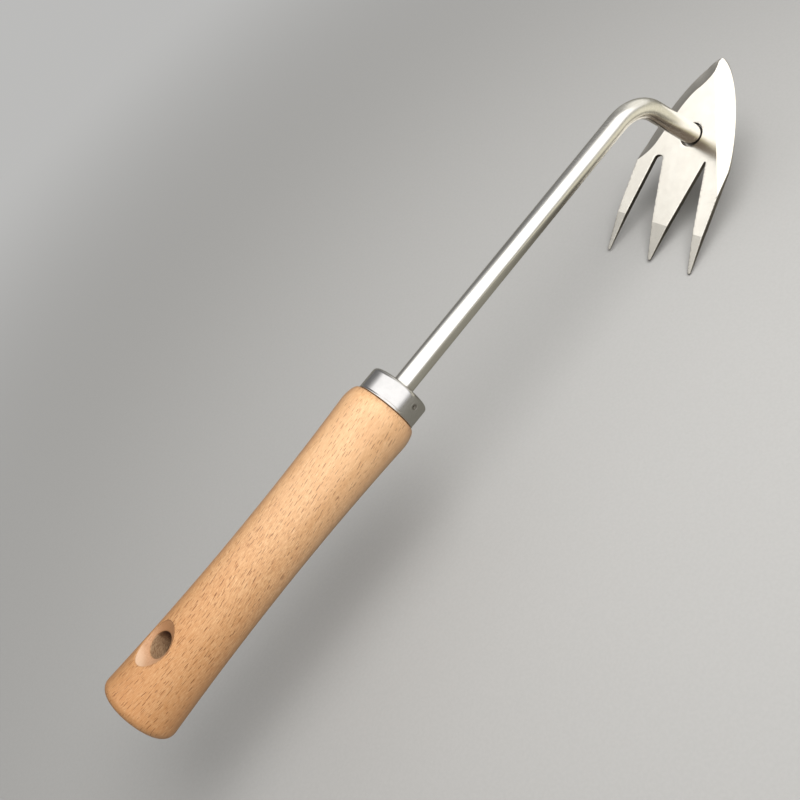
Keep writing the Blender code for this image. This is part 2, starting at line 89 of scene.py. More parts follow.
# plate, in its own frame: eye at the origin, top face at z = 0
PLATE_T, PLATE_SHIFT, EYE_R = 2.0, 0.5, 4.85
EDGE_ROUND, EDGE_STEPS = 0.13, 4
POINT_X, POINT_Y, POINT_R = 31.3, -0.8, 1.2
POINT_HALF_ANGLE = math.radians(59.5)
EDGE_CONTROL, EDGE_PULL_SHOULDER = (24.5, 11.8), 10.0
SHOULDER_X, SHOULDER_HALF, SHOULDER_ANGLE = -12.4, 22.0, math.radians(6.0)
TINE_TIP_R = 0.7

# faces ground into its top, each falling by GRIND_DEPTH
GRIND_DEPTH = PLATE_T - 0.35
BEVEL_START, BEVEL_SKEW, BEVEL_END = -37.4, math.radians(3.4), -53.4
SLANT_START, SLANT_SLOPE, SLANT_INSET = (0.3, -11.6), 0.46, 3.0
HOLLOW = 0.16

BEAD_OUT_R, BEAD_H, BEAD_GAP, BEAD_RIPPLES = 7.7, 1.7, 0.3, 20

LEG_X, LEG_Z = math.cos(BEND_ANGLE), -math.sin(BEND_ANGLE)
FACE = Vector((BEND_CORNER_X, 0.0, 0.0)) + Vector((LEG_X, 0.0, LEG_Z)) * LAST_LENGTH
TILT = Matrix.Rotation(BEND_ANGLE - math.radians(90.0), 4, "Y")
HEAD = Matrix.Translation(FACE + Vector((0.0, PLATE_SHIFT, 0.0))) @ TILT
ROD_AXIS = Matrix.Translation(FACE) @ TILT


# -------------------------------------------------------------- mesh helpers
def placed(points, matrix):
    """Points (N, 3) in millimetres, moved by a 4x4."""
    matrix = np.array(matrix, float)
    return points @ matrix[:3, :3].T + matrix[:3, 3]


def make_piece(name, points, faces, node, sharp_angle=None):
    """Smooth-shaded object that stands in for a CAD node; the angle is in degrees."""
    mesh = bpy.data.meshes.new(name)
    mesh.from_pydata((np.asarray(points, float) * MM).tolist(), [], faces)
    mesh.validate()
    mesh.update()
    bm = bmesh.new()
    bm.from_mesh(mesh)
    bmesh.ops.recalc_face_normals(bm, faces=bm.faces[:])
    bm.to_mesh(mesh)
    bm.free()
    obj = bpy.data.objects.new(name, mesh)
    bpy.context.scene.collection.objects.link(obj)
    mesh.shade_smooth()
    if sharp_angle is not None:
        mesh.set_sharp_from_angle(angle=math.radians(sharp_angle))
    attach(obj, "root")
    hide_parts(node)
    return obj


def store(obj, name, values):
    attribute = obj.data.attributes.new(name, "FLOAT", "POINT")
    attribute.data.foreach_set("value", np.asarray(values, np.float32))


def edge_ends(mesh):
    ends = np.empty(len(mesh.edges) * 2, int)
    mesh.edges.foreach_get("vertices", ends)
    return ends.reshape(-1, 2)


def grid_faces(rows, cols, wrap_rows=False):
    """Quads of a rows x cols grid; columns wrap round."""
    faces = []
    for row in range(rows if wrap_rows else rows - 1):
        here, ahead = row * cols, (row + 1) % rows * cols
        for j in range(cols):
            k = (j + 1) % cols
            faces.append((here + j, here + k, ahead + k, ahead + j))
    return faces


def lathe_x(profile, angles):
    """Points of a profile of (radius, x) turned about X.  Angle 0 is +Z and 90
    degrees is -Y."""
    profile = np.array(profile, float)
    points = np.empty((len(profile), len(angles), 3))
    points[..., 0] = profile[:, 1:2]
    points[..., 1] = -profile[:, 0:1] * np.sin(angles)
    points[..., 2] = profile[:, 0:1] * np.cos(angles)
    return points.reshape(-1, 3)


def arc(centre_x, centre_y, radius, start, end, count):
    turns = np.radians(np.linspace(start, end, count + 1))
    return [(centre_x + radius * math.cos(turn), centre_y + radius * math.sin(turn))
            for turn in turns]


def bezier(start, pull_start, pull_end, end, count):
    t = np.linspace(0, 1, count + 1)[:, None]
    u = 1 - t
    start, pull_start, pull_end, end = (
        np.array(point, float) for point in (start, pull_start, pull_end, end))
    curve = u ** 3 * start + 3 * u * u * t * pull_start + 3 * u * t * t * pull_end + t ** 3 * end
    return [tuple(point) for point in curve]


def smooth_max(a, b, width):
    blend = np.maximum(width - np.abs(a - b), 0.0) / width
    return np.maximum(a, b) + blend * blend * width * 0.25


def inside_loop(x, y, loop):
    """Whether each point lies in a closed polygon."""
    inside = np.zeros(x.shape, bool)
    for (x0, y0), (x1, y1) in zip(loop, np.roll(loop, -1, 0)):
        if y0 == y1:
            continue
        hit = (y0 > y) != (y1 > y)
        inside ^= hit & (x < (x1 - x0) * (y - y0) / (y1 - y0) + x0)
    return inside


# -------------------------------------------------------------------- handle
VOXEL = 0.44
RELAX = 0.6


def grip_radius(x):
    offset = (x - WAIST_X) / SPAN
    return WAIST_R + SWELL * offset * offset


def handle_section():
    """Closed half-section of the turned handle as (x, radius), the axis included."""
    chamfer = TENON_CHAMFER
    section = [(BORE_BOTTOM, 0.0), (BORE_BOTTOM + BORE_POINT, ROD_HOLE_R),
               (TENON_END - chamfer, ROD_HOLE_R), (TENON_END, ROD_HOLE_R + chamfer),
               (TENON_END, TENON_R - chamfer), (TENON_END - chamfer, TENON_R),
               (HANDLE_END, TENON_R)]
    top = HANDLE_END - SHOULDER_LENGTH
    top_radius = grip_radius(top)
    for degrees in np.linspace(0, 90, 41):
        turn = math.radians(degrees)
        section.append((top + SHOULDER_LENGTH * math.cos(turn),
                        SHOULDER_R + (top_radius - SHOULDER_R) * math.sin(turn)))
    section += [(x, grip_radius(x)) for x in np.linspace(top, BUTT_ROUND, 121)[1:-1]]
    low = grip_radius(BUTT_ROUND)
    section += [(x, radius) for radius, x in
                arc(low - BUTT_ROUND, BUTT_ROUND, BUTT_ROUND, 0.0, -90.0, 40)]
    section.append((0.0, 0.0))
    return np.array(section)


def section_distance(x, y, section):
    """Signed distance to a section, negative inside; its last side, along the
    axis, isn't part of the surface."""
    best = np.full(x.shape, 1e9)
    for (x0, y0), (x1, y1) in zip(section, section[1:]):
        run, rise = x1 - x0, y1 - y0
        t = np.clip(((x - x0) * run + (y - y0) * rise) / (run * run + rise * rise), 0, 1)
        best = np.minimum(best, (x - x0 - t * run) ** 2 + (y - y0 - t * rise) ** 2)
    return np.where(inside_loop(x, y, section), -1.0, 1.0) * np.sqrt(best)


# the section's distance is looked up in a table over x and radius
TABLE_LOW, TABLE_HIGH, TABLE_R, TABLE_STEP = -3.0, 142.0, 18.0, 0.125
table_x = np.arange(TABLE_LOW, TABLE_HIGH + TABLE_STEP / 2, TABLE_STEP)
table_r = np.arange(0.0, TABLE_R + TABLE_STEP / 2, TABLE_STEP)
table = section_distance(*np.meshgrid(table_x, table_r + 1e-6, indexing="ij"), handle_section())


def turned_distance(x, radius):
    col = np.clip((x - TABLE_LOW) / TABLE_STEP, 0, len(table_x) - 1.001)
    row = np.clip(radius / TABLE_STEP, 0, len(table_r) - 1.001)
    i, j = col.astype(int), row.astype(int)
    u, v = col - i, row - j
    return ((table[i, j] * (1 - u) + table[i + 1, j] * u) * (1 - v)
            + (table[i, j + 1] * (1 - u) + table[i + 1, j + 1] * u) * v)


def hang_hole(points):
    """Distance from the hole's axis, and signed distance to the countersinks."""
    rho = np.hypot(points[:, 0] - HANG_X, points[:, 1])
    cone = rho - HANG_R - (np.abs(points[:, 2]) - SINK_LOW) * SINK_RUN
    return rho, cone / math.hypot(1, SINK_RUN)


def handle_distance(points):
    body = turned_distance(points[:, 0], np.hypot(points[:, 1], points[:, 2]))
    rho, cone = hang_hole(points)
    hole = smooth_max(HANG_R - rho, -cone, width=0.5)
    return smooth_max(body, hole, width=0.55)


def to_surface(points):
    """Two steps down the distance's slope, towards the handle's surface."""
    reach = 0.02
    for _ in range(2):
        distance = handle_distance(points)
        slope = np.empty_like(points)
        for axis, shift in enumerate(np.eye(3) * reach):
            slope[:, axis] = (handle_distance(points + shift)
                              - handle_distance(points - shift)) / (2 * reach)
        steepness = np.maximum((slope * slope).sum(1), 0.15)
        points = points - slope * np.clip(distance / steepness, -0.3, 0.3)[:, None]
    return points


def relax(points, edges):
    total = np.zeros_like(points)
    count = np.zeros(len(points))
    for here, there in (edges.T, edges.T[::-1]):
        np.add.at(total, here, points[there])
        np.add.at(count, here, 1)
    return points * (1 - RELAX) + total / count[:, None] * RELAX


def voxel_skin(source):
    """Points, edges and faces of an even skin over the source's mesh."""
    bm = bmesh.new()
    bm.from_mesh(source.data)
    bmesh.ops.remove_doubles(bm, verts=bm.verts[:], dist=1e-6)
    mesh = bpy.data.meshes.new("handle_voxels")
    bm.to_mesh(mesh)
    bm.free()
    obj = bpy.data.objects.new("handle_voxels", mesh)
    bpy.context.scene.collection.objects.link(obj)
    remesh = obj.modifiers.new("voxels", "REMESH")
    remesh.mode = "VOXEL"
    remesh.voxel_size = VOXEL * MM
    bpy.context.view_layer.update()
    evaluated = obj.evaluated_get(bpy.context.evaluated_depsgraph_get())
    fine = bpy.data.meshes.new_from_object(evaluated)
    bpy.data.objects.remove(obj)
    points = np.empty(len(fine.vertices) * 3)
    fine.vertices.foreach_get("co", points)
    skin = points.reshape(-1, 3) / MM, edge_ends(fine), [tuple(f.vertices) for f in fine.polygons]
    bpy.data.meshes.remove(fine)
    return skin


def build_handle():
    points, edges, faces = voxel_skin(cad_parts["handle"])
    for _ in range(3):
        points = to_surface(relax(points, edges))
    points = to_surface(points)
    piece = make_piece("handle_wood", points, faces, "handle")
    # masks of the cut wood: the countersinks' cones and the bore between them
    rho, cone = hang_hole(points)
    height = np.abs(points[:, 2])
    raw = (np.clip(1.0 - np.abs(cone) / 0.16, 0, 1) * (rho < HANG_SINK_R + 2)
           * (height > SINK_LOW - 0.2))
    bore = np.clip(1.0 - np.abs(rho - HANG_R) / 0.2, 0, 1) * (height < SINK_LOW + 0.1)
    store(piece, "raw", raw)
    store(piece, "bore", bore)
    return piece


# ------------------------------------------------------------------- ferrule
HOLE_ROUND, RIM_ROUND, RIM_INNER_ROUND = 0.2, 0.22, 0.15
RIM_FLARE, GROOVE_DEPTH, GROOVE_PLACE = 0.075, 0.050, 0.85
RIM_RUN = 1.4                           # length of the grooved and flared part
PUNCH_ANGLE, PUNCH_SPREAD = 90, 14      # degrees; angles are dense within the spread
PUNCH_TIP_R = 0.22


def ferrule_profile():
    """Closed profile of the cup as (radius, x)."""
    inner = FERRULE_R - FERRULE_WALL
    floor_x = FERRULE_END - FERRULE_WALL
    round_x = FERRULE_END - FERRULE_ROUND
    profile = [(ROD_HOLE_R, x) for x in np.linspace(floor_x, FERRULE_END - HOLE_ROUND, 3)]
    profile += arc(ROD_HOLE_R + HOLE_ROUND, FERRULE_END - HOLE_ROUND, HOLE_ROUND, 180, 90, 5)[1:]
    profile += [(radius, FERRULE_END) for radius in
                np.linspace(ROD_HOLE_R + 0.6, FERRULE_R - FERRULE_ROUND, 24)[:-1]]
    profile += arc(FERRULE_R - FERRULE_ROUND, round_x, FERRULE_ROUND, 90, 0, 20)
    profile += [(FERRULE_R, x) for x in np.linspace(round_x, FERRULE_START + RIM_RUN, 60)[1:]]
    # towards the wood, a shallow groove and the slightly flared lip of the cut end
    for x in np.linspace(FERRULE_START + RIM_RUN, FERRULE_START + RIM_ROUND, 30)[1:]:
        groove = GROOVE_DEPTH * math.exp(-((x - FERRULE_START - GROOVE_PLACE) / 0.16) ** 2)
        flare = RIM_FLARE * math.exp(-((x - FERRULE_START - RIM_ROUND) / 0.30) ** 2)
        profile.append((FERRULE_R - groove + flare, x))
    profile += arc(FERRULE_R + RIM_FLARE - RIM_ROUND, FERRULE_START + RIM_ROUND,
                   RIM_ROUND, 0, -90, 6)[1:]
    profile += arc(inner + RIM_INNER_ROUND, FERRULE_START + RIM_INNER_ROUND,
                   RIM_INNER_ROUND, -90, -180, 4)
    fillet = FERRULE_ROUND - FERRULE_WALL
    profile += [(inner, x) for x in np.linspace(FERRULE_START + 0.6, round_x, 10)]
    profile += arc(inner - fillet, round_x, fillet, 0, 90, 8)[1:]
    profile += [(radius, floor_x) for radius in np.linspace(inner - fillet, ROD_HOLE_R, 8)[1:-1]]
    return profile


def build_ferrule():
    profile = ferrule_profile()
    low, high = PUNCH_ANGLE - PUNCH_SPREAD, PUNCH_ANGLE + PUNCH_SPREAD
    angles = np.radians(np.concatenate([np.linspace(low, high, 90),
                                        np.linspace(high, 360 + low, 232)[1:-1]]))
    points = lathe_x(profile, angles)
    # punch mark: a small cone with a soft raised lip, pressed into the wall
    radius = np.hypot(points[:, 1], points[:, 2])
    angle = np.arctan2(-points[:, 1], points[:, 2])
    side = (angle - math.radians(PUNCH_ANGLE)) * FERRULE_R
    distance = np.hypot(side, points[:, 0] - PUNCH_X)
    outer = np.abs(radius - FERRULE_R) < 0.02
    cone = np.clip(1 - distance / PUNCH_R, 0, 1)
    tip = (PUNCH_DEPTH * (1 - PUNCH_TIP_R / PUNCH_R) ** 1.15
           + 0.05 * (1 - (distance / PUNCH_TIP_R) ** 2))
    dip = np.where(distance < PUNCH_TIP_R, tip, PUNCH_DEPTH * cone ** 1.15)
    lip = 0.045 * np.exp(-((distance - PUNCH_R - 0.12) / 0.22) ** 2)
    points[:, 1:] *= ((radius + np.where(outer, lip - dip, 0)) / radius)[:, None]
    piece = make_piece("ferrule_cup", points, grid_faces(len(profile), len(angles), True),
                       "ferrule", sharp_angle=50)
    store(piece, "pit", np.where(outer, cone, 0))
    return piece


# --------------------------------------------------------------------- shank
TANG_CHAMFER, ROD_END_ROUND, BEND_FLAT = 0.7, 0.45, 0.016
SHANK_COLS = 128


def last_leg(distance, radius):
    return (BEND_CORNER_X + LEG_X * distance, LEG_Z * distance, BEND_ANGLE, radius)


def shank_stations():
    """Stations along the bar as (x, z, angle of the tangent, radius)."""
    bend_reach = BEND_R * math.tan(BEND_ANGLE / 2)
    bend_x = BEND_CORNER_X - bend_reach
    stations = [(TANG_START + TANG_CHAMFER * part, 0.0, 0.0, ROD_R - TANG_CHAMFER * (1 - part))
                for part in np.linspace(0, 1, 5)]
    stations += [(x, 0.0, 0.0, ROD_R)
                 for x in np.linspace(TANG_START + TANG_CHAMFER, bend_x, 90)[1:]]
    stations += [(bend_x + BEND_R * math.sin(turn), -BEND_R + BEND_R * math.cos(turn), turn, ROD_R)
                 for turn in np.linspace(0, BEND_ANGLE, 72)[1:]]
    end = LAST_LENGTH + ROD_THROUGH
    stations += [last_leg(distance, ROD_R)
                 for distance in np.linspace(bend_reach, end - ROD_END_ROUND, 40)[1:]]
    for degrees in np.linspace(0, 90, 7)[1:]:
        turn = math.radians(degrees)
        stations.append(last_leg(end - ROD_END_ROUND + ROD_END_ROUND * math.sin(turn),
                                 ROD_R - ROD_END_ROUND + ROD_END_ROUND * math.cos(turn)))
    stations += [last_leg(end, radius) for radius in (ROD_R - 0.9, 2.2, 0.9)]
    return stations


def build_shank():
    stations = shank_stations()
    cols = SHANK_COLS
    phi = np.linspace(0, 2 * math.pi, cols, endpoint=False)
    rings = []
    for x, z, turn, radius in stations:
        # the bar flattens a little where it was bent
        flat = BEND_FLAT * math.sin(math.pi * (turn / BEND_ANGLE)) ** 2
        up = np.array((math.sin(turn), 0.0, math.cos(turn)))
        rings.append(np.array((x, 0.0, z))
                     + np.outer(np.cos(phi) * radius * (1 - flat), up)
                     + np.outer(np.sin(phi) * radius * (1 + flat * 0.5), (0.0, 1.0, 0.0)))
    faces = grid_faces(len(rings), cols)
    count = len(rings) * cols
    end_x, end_z = stations[-1][:2]
    points = np.vstack([*rings, [TANG_START, 0, 0], [end_x, 0, end_z]])
    for j in range(cols):
        k = (j + 1) % cols
        faces.append((count, k, j))
        faces.append((count + 1, count - cols + j, count - cols + k))
    piece = make_piece("shank_bar", points, faces, "shank", sharp_angle=40)
    # length along the bar and place round it, for marks drawn along it
    lengths = [0.0]
    for here, after in zip(stations, stations[1:]):
        lengths.append(lengths[-1] + math.hypot(after[0] - here[0], after[1] - here[1]))
    store(piece, "along", [*np.repeat(lengths, cols), 0.0, lengths[-1]])
    store(piece, "ring_u", [*np.tile(np.cos(phi), len(stations)), 0.0, 0.0])
    store(piece, "ring_v", [*np.tile(np.sin(phi), len(stations)), 0.0, 0.0])
    return piece


# ------------------------------------------------------------- plate outline
def blade_edge(side, count):
    """The blade's edge from the point to the shoulder; side is +1 or -1 in Y."""
    start = (POINT_X - POINT_R + POINT_R * math.sin(POINT_HALF_ANGLE),
             POINT_Y + side * POINT_R * math.cos(POINT_HALF_ANGLE))
    end = (SHOULDER_X, side * SHOULDER_HALF)
    return bezier(start, (EDGE_CONTROL[0], side * EDGE_CONTROL[1]),
                  (end[0] + EDGE_PULL_SHOULDER * math.cos(SHOULDER_ANGLE),
                   end[1] - side * EDGE_PULL_SHOULDER * math.sin(SHOULDER_ANGLE)), end, count)


# corners from shoulder to shoulder round the three tines: x, y, corner radius
FORK = [
    (SHOULDER_X, SHOULDER_HALF, 0.0),
    (-34.0, 22.3, 30.0),
    (-52.6, 21.8, TINE_TIP_R), (-52.7, 20.4, TINE_TIP_R),
    (-9.9, 13.3, 1.9), (-9.9, 9.7, 1.9),
    (-52.5, -0.1, TINE_TIP_R), (-52.6, -1.5, TINE_TIP_R),
    (-9.9, -10.5, 0.35), (-10.0, -11.2, 0.35),
    (-53.8, -20.6, TINE_TIP_R), (-53.9, -22.0, TINE_TIP_R),
    (-34.0, -22.1, 30.0),
    (SHOULDER_X, -SHOULDER_HALF, 0.0),
]


def rounded(corners, steps):
    """Arcs at every corner but the first and the last."""
    points = []
    for before, corner, after in zip(corners, corners[1:], corners[2:]):
        place, radius = Vector(corner[:2]), corner[2]
        back = (Vector(before[:2]) - place).normalized()
        ahead = (Vector(after[:2]) - place).normalized()
        half = back.angle(ahead) / 2
        reach = radius / math.tan(half)
        centre = place + (back + ahead).normalized() * (radius / math.sin(half))
        first = place + back * reach - centre
        last = place + ahead * reach - centre
        start, end = math.atan2(first.y, first.x), math.atan2(last.y, last.x)
        while end - start > math.pi:
            end -= math.tau
        while end - start < -math.pi:
            end += math.tau
        for i in range(steps + 1):
            turn = start + (end - start) * i / steps
            points.append((centre.x + radius * math.cos(turn), centre.y + radius * math.sin(turn)))
    return points


def split_long(loop, limit):
    """The closed loop with its sides cut into parts no longer than the limit."""
    points = []
    for i in range(len(loop)):
        here, after = np.array(loop[i]), np.array(loop[(i + 1) % len(loop)])
        parts = max(1, int(math.ceil(np.linalg.norm(after - here) / limit)))
        points += [tuple(here + (after - here) * k / parts) for k in range(parts)]
    return points


def plate_outline():
    """Counter-clockwise outline, from the -Y shoulder round the point."""
    half = 90.0 - math.degrees(POINT_HALF_ANGLE)
    points = blade_edge(-1, 90)[::-1]
    points += arc(POINT_X - POINT_R, POINT_Y, POINT_R, -half, half, 10)[1:]
    points += blade_edge(1, 90)[1:]
    points += rounded(FORK, 14)
    # drop points that coincide, then even out the long straight runs
    clean = [points[0]]
    for point in points[1:]:
        if math.dist(point, clean[-1]) > 0.02:
            clean.append(point)
    return np.array(split_long(clean, 0.7))


def loop_normals(loop):
    """Outward normals of a counter-clockwise loop, scaled so that an offset of
    one moves both neighbouring sides by one."""
    side = np.roll(loop, -1, 0) - loop
    side /= np.linalg.norm(side, axis=1)[:, None]
    normal = np.stack([side[:, 1], -side[:, 0]], 1)
    middle = normal + np.roll(normal, 1, 0)
    middle /= np.maximum(np.linalg.norm(middle, axis=1), 1e-9)[:, None]
    scale = np.clip((middle * normal).sum(1), 0.5, 1.0)
    return middle / scale[:, None]


# -------------------------------------------------------------- ground faces
def ogee():
    """Inner border of the hollow grind, from the point to the +Y shoulder."""
    first = bezier((POINT_X - 2.0, POINT_Y - 0.2), (26.6, -0.6), (22.0, 1.0), (18.2, 5.0), 24)
    middle = bezier((18.2, 5.0), (13.0, 9.6), (2.0, 12.6), (-5.0, 15.4), 40)
    last = bezier((-5.0, 15.4), (-7.8, 16.4), (-11.6, 19.4), (-14.6, 23.4), 20)
    return np.array(first + middle[1:] + last[1:])


OGEE = ogee()
EDGE_LINE = np.array(blade_edge(1, 120))
BEVEL_TAN = GRIND_DEPTH / (BEVEL_START - BEVEL_END)
SLANT_ALONG = np.array((-1.0, -SLANT_SLOPE)) / math.hypot(1.0, SLANT_SLOPE)
SLANT_ACROSS = np.array((-SLANT_ALONG[1], SLANT_ALONG[0]))
SLANT_TAN = GRIND_DEPTH / abs((SHOULDER_HALF - SLANT_INSET + SLANT_START[1]) * SLANT_ALONG[0])


def line_distance(points, line):
    """Distance to a polyline, which side of it (+1 is its left), and how far
    along it the nearest point is (0 to 1)."""
    best = np.full(len(points), 1e9)
    side = np.zeros(len(points))
    where = np.zeros(len(points))
    count = len(line) - 1
    for i in range(count):
        start = line[i]
        run = line[i + 1] - start
        t = np.clip(((points - start) @ run) / (run @ run), 0, 1)
        away = points - start - t[:, None] * run
        distance = np.hypot(away[:, 0], away[:, 1])
        turn = np.sign(run[0] * (points[:, 1] - start[1]) - run[1] * (points[:, 0] - start[0]))
        closer = distance < best - 1e-9
        best = np.where(closer, distance, best)
        side = np.where(closer, turn, side)
        where = np.where(closer, (i + t) / count, where)
    return best, side, where


def tine_fall(points):
    past = (-(points[:, 0] - BEVEL_START) * math.cos(BEVEL_SKEW)
            + points[:, 1] * math.sin(BEVEL_SKEW))
    return past * BEVEL_TAN


def slant_fall(points):
    """Fall of the flat grind on the blade's -Y side."""
    return ((points - SLANT_START) @ SLANT_ACROSS) * SLANT_TAN


def hollow_fall(points):
    """Fall of the grind between the ogee and the blade's +Y edge."""
    inner, side, where = line_distance(points, OGEE)
    width = np.maximum(inner + line_distance(points, EDGE_LINE)[0], 0.3)
    depth = GRIND_DEPTH * np.clip((1.0 - where) / 0.16, 0, 1) ** 0.8
    depth = depth * (0.45 + 0.55 * np.clip(where / 0.12, 0, 1))
    t = inner / width
    curve = t * (1.0 + HOLLOW * (1.0 - t))
    # the blade's edge is on the right of the ogee
    return np.where((side < 0) & (points[:, 0] > SHOULDER_X - 1.5), depth * curve, -inner * 0.3)


def top_height(points):
    """Height of the top, and which face it is: 0 flat, 1 tine bevel, 2 slant
    grind, 3 hollow grind."""
    falls = np.stack([np.zeros(len(points)), tine_fall(points), slant_fall(points),
                      hollow_fall(points)])
    return -np.maximum(falls.max(0), 0.0), falls.argmax(0)


def ridge_y(x):
    """Where the slant and hollow grinds meet at x, or None."""
    points = np.column_stack([np.full(2401, x), np.linspace(-6, 6, 2401)])
    slant = slant_fall(points)
    signs = np.sign(slant - np.maximum(hollow_fall(points), -5))
    meets = [i for i in np.where(np.diff(signs) != 0)[0] if slant[i] > 0]
    return points[meets[-1], 1] if meets else None


def crease_lines():
    """The tine bevel's start, the ridge near the point, the slant grind's border
    and the ogee."""
    skewed = (math.sin(BEVEL_SKEW), math.cos(BEVEL_SKEW))
    lines = [np.array((BEVEL_START, 0.0)) + np.outer(np.linspace(-26, 26, 80), skewed)]
    ridge = []
    for x in np.linspace(24.0, 31.0, 29):
        y = ridge_y(x)
        if y is not None and hollow_fall(np.array([[x, y]]))[0] > 0.0:
            ridge.append((x, y))
    if len(ridge) > 2:
        lines.append(np.array(ridge))
    border = np.array(SLANT_START) + np.outer(np.linspace(-26.5, 28, 90), SLANT_ALONG)
    lines.append(border[hollow_fall(border) <= 0.0])
    lines.append(OGEE[slant_fall(OGEE) <= 0.0])
    return lines


# ---------------------------------------------------------------- plate mesh
def net_points(border, eye_radius):
    """Inner points on a hexagonal net, finer in the hollow grind."""
    net = []
    for step, in_hollow in ((0.95, False), (0.42, True)):
        for i, x in enumerate(np.arange(-56, 34, step)):
            shift = step * 0.577 if i % 2 else 0.0
            net += [(x, y + shift, in_hollow) for y in np.arange(-24, 24, step * 1.1547)]
    net = np.array(net)
    points = net[:, :2]
    keep = inside_loop(points[:, 0], points[:, 1], border)
    keep &= np.hypot(points[:, 0], points[:, 1]) > eye_radius + 0.3
    keep &= (hollow_fall(points) > 0.0) == (net[:, 2] > 0.5)
    points = points[keep]
    return points[line_distance(points, np.vstack([border, border[:1]]))[0] > 0.28]


def plate_triangles():
    """Points (N, 2) and counter-clockwise triangles of the plate's top."""
    outline = plate_outline()
    border = outline - loop_normals(outline) * EDGE_ROUND
    eye_radius = EYE_R + EDGE_ROUND
    turns = np.linspace(0, 2 * math.pi, 96, endpoint=False)
    eye = np.stack([np.cos(turns), np.sin(turns)], 1) * eye_radius
    points, edges = [], []

    def add_chain(chain, closed=False):
        start, count = len(points), len(chain)
        points.extend(chain.tolist())
        edges.extend((start + i, start + i + 1) for i in range(count - 1))
        if closed:
            edges.append((start + count - 1, start))

    add_chain(border, closed=True)
    add_chain(eye, closed=True)
    for line in crease_lines():
        add_chain(line)
    points.extend(net_points(border, eye_radius).tolist())

    found = delaunay_2d_cdt([Vector(point) for point in points], edges, [], 0, 1e-5, False)
    flat = np.array([(point.x, point.y) for point in found[0]])
    triangles = np.array(found[2])
    centres = flat[triangles].mean(1)
    first = flat[triangles[:, 1]] - flat[triangles[:, 0]]
    second = flat[triangles[:, 2]] - flat[triangles[:, 0]]
    area = first[:, 0] * second[:, 1] - first[:, 1] * second[:, 0]
    keep = inside_loop(centres[:, 0], centres[:, 1], border)
    keep &= np.hypot(centres[:, 0], centres[:, 1]) > eye_radius * 0.9995
    triangles, centres, area = triangles[keep], centres[keep], area[keep]
    triangles = np.where((area < 0)[:, None], triangles[:, ::-1], triangles)
    used = np.unique(triangles)
    renumber = -np.ones(len(flat), int)
    renumber[used] = np.arange(len(used))
    return flat[used], renumber[triangles], centres


def triangle_sides(triangle):
    a, b, c = triangle
    return (a, b), (b, c), (c, a)


def boundary_loops(triangles):
    """Boundary loops, in the triangles' own direction."""
    # a dict keeps the sides in order
    sides = dict.fromkeys(side for triangle in triangles for side in triangle_sides(triangle))
    following = {a: b for (a, b) in sides if (b, a) not in sides}
    loops = []
    while following:
        first = next(iter(following))
        loop = [first]
        current = following.pop(first)
        while current != first:
            loop.append(current)
            current = following.pop(current)
        loops.append(loop)
    return loops


def mark_creases(mesh, triangles, labels):
    """Sharp edges only where two different ground faces meet."""
    beside = {}
    for triangle, label in zip(triangles, labels.tolist()):
        for side in triangle_sides(triangle):
            beside.setdefault(tuple(sorted(side)), set()).add(label)
    flags = [len(beside.get(tuple(sorted(ends)), ())) == 2 for ends in edge_ends(mesh).tolist()]
    sharp = mesh.attributes.new("sharp_edge", "BOOLEAN", "EDGE")
    sharp.data.foreach_set("value", np.array(flags))


def build_head():
    flat, triangles, centres = plate_triangles()
    triangles = triangles.tolist()
    top = top_height(flat)[0]
    count = len(flat)
    blocks = [np.column_stack([flat, top]), np.column_stack([flat, np.full(count, -PLATE_T)])]
    faces = [tuple(t) for t in triangles]
    faces += [(a + count, c + count, b + count) for a, b, c in triangles]
    wall = [0.0] * (2 * count)
    total = 2 * count
    # each border rolls over from the top to the wall, and from the wall to the back
    roll = ([(k, True) for k in range(1, EDGE_STEPS + 1)]
            + [(k, False) for k in range(EDGE_STEPS, 0, -1)])
    for loop in boundary_loops(triangles):
        size = len(loop)
        outward = loop_normals(flat[loop])
        level = top[loop]
        fillet = np.minimum(EDGE_ROUND, np.maximum((level + PLATE_T) * 0.42, 0.02))
        rings = [loop]
        for k, upper in roll:
            turn = math.radians(90.0 * k / EDGE_STEPS)
            drop = fillet * (1 - math.cos(turn))
            blocks.append(np.column_stack([flat[loop] + outward * (EDGE_ROUND * math.sin(turn)),
                                           level - drop if upper else -PLATE_T + drop]))
            wall += [0.15 if k < EDGE_STEPS else 1.0] * size
            rings.append(list(range(total, total + size)))
            total += size
        rings.append([i + count for i in loop])
        for above, below in zip(rings, rings[1:]):
            for j in range(size):
                k = (j + 1) % size
                faces.append((above[j], below[j], below[k], above[k]))
    local = np.vstack(blocks)
    piece = make_piece("head_blade", placed(local, HEAD), faces, "head_plate")
    mesh = piece.data
    labels = top_height(centres)[1]
    mark_creases(mesh, triangles, labels)
    weighted = piece.modifiers.new("weighted", "WEIGHTED_NORMAL")
    weighted.mode = "FACE_AREA"
    weighted.weight = 90
    weighted.keep_sharp = True

    store(piece, "wall", wall)
    for axis, name in enumerate(("lx", "ly", "lz")):
        store(piece, name, local[:, axis])
    # labels of top_height on the top, then 4 on the back and 5 on the walls
    kinds = np.full(len(mesh.polygons), 5, np.float32)
    kinds[:len(triangles)] = labels
    kinds[len(triangles):2 * len(triangles)] = 4
    mesh.attributes.new("face_kind", "FLOAT", "FACE").data.foreach_set("value", kinds)
    return piece


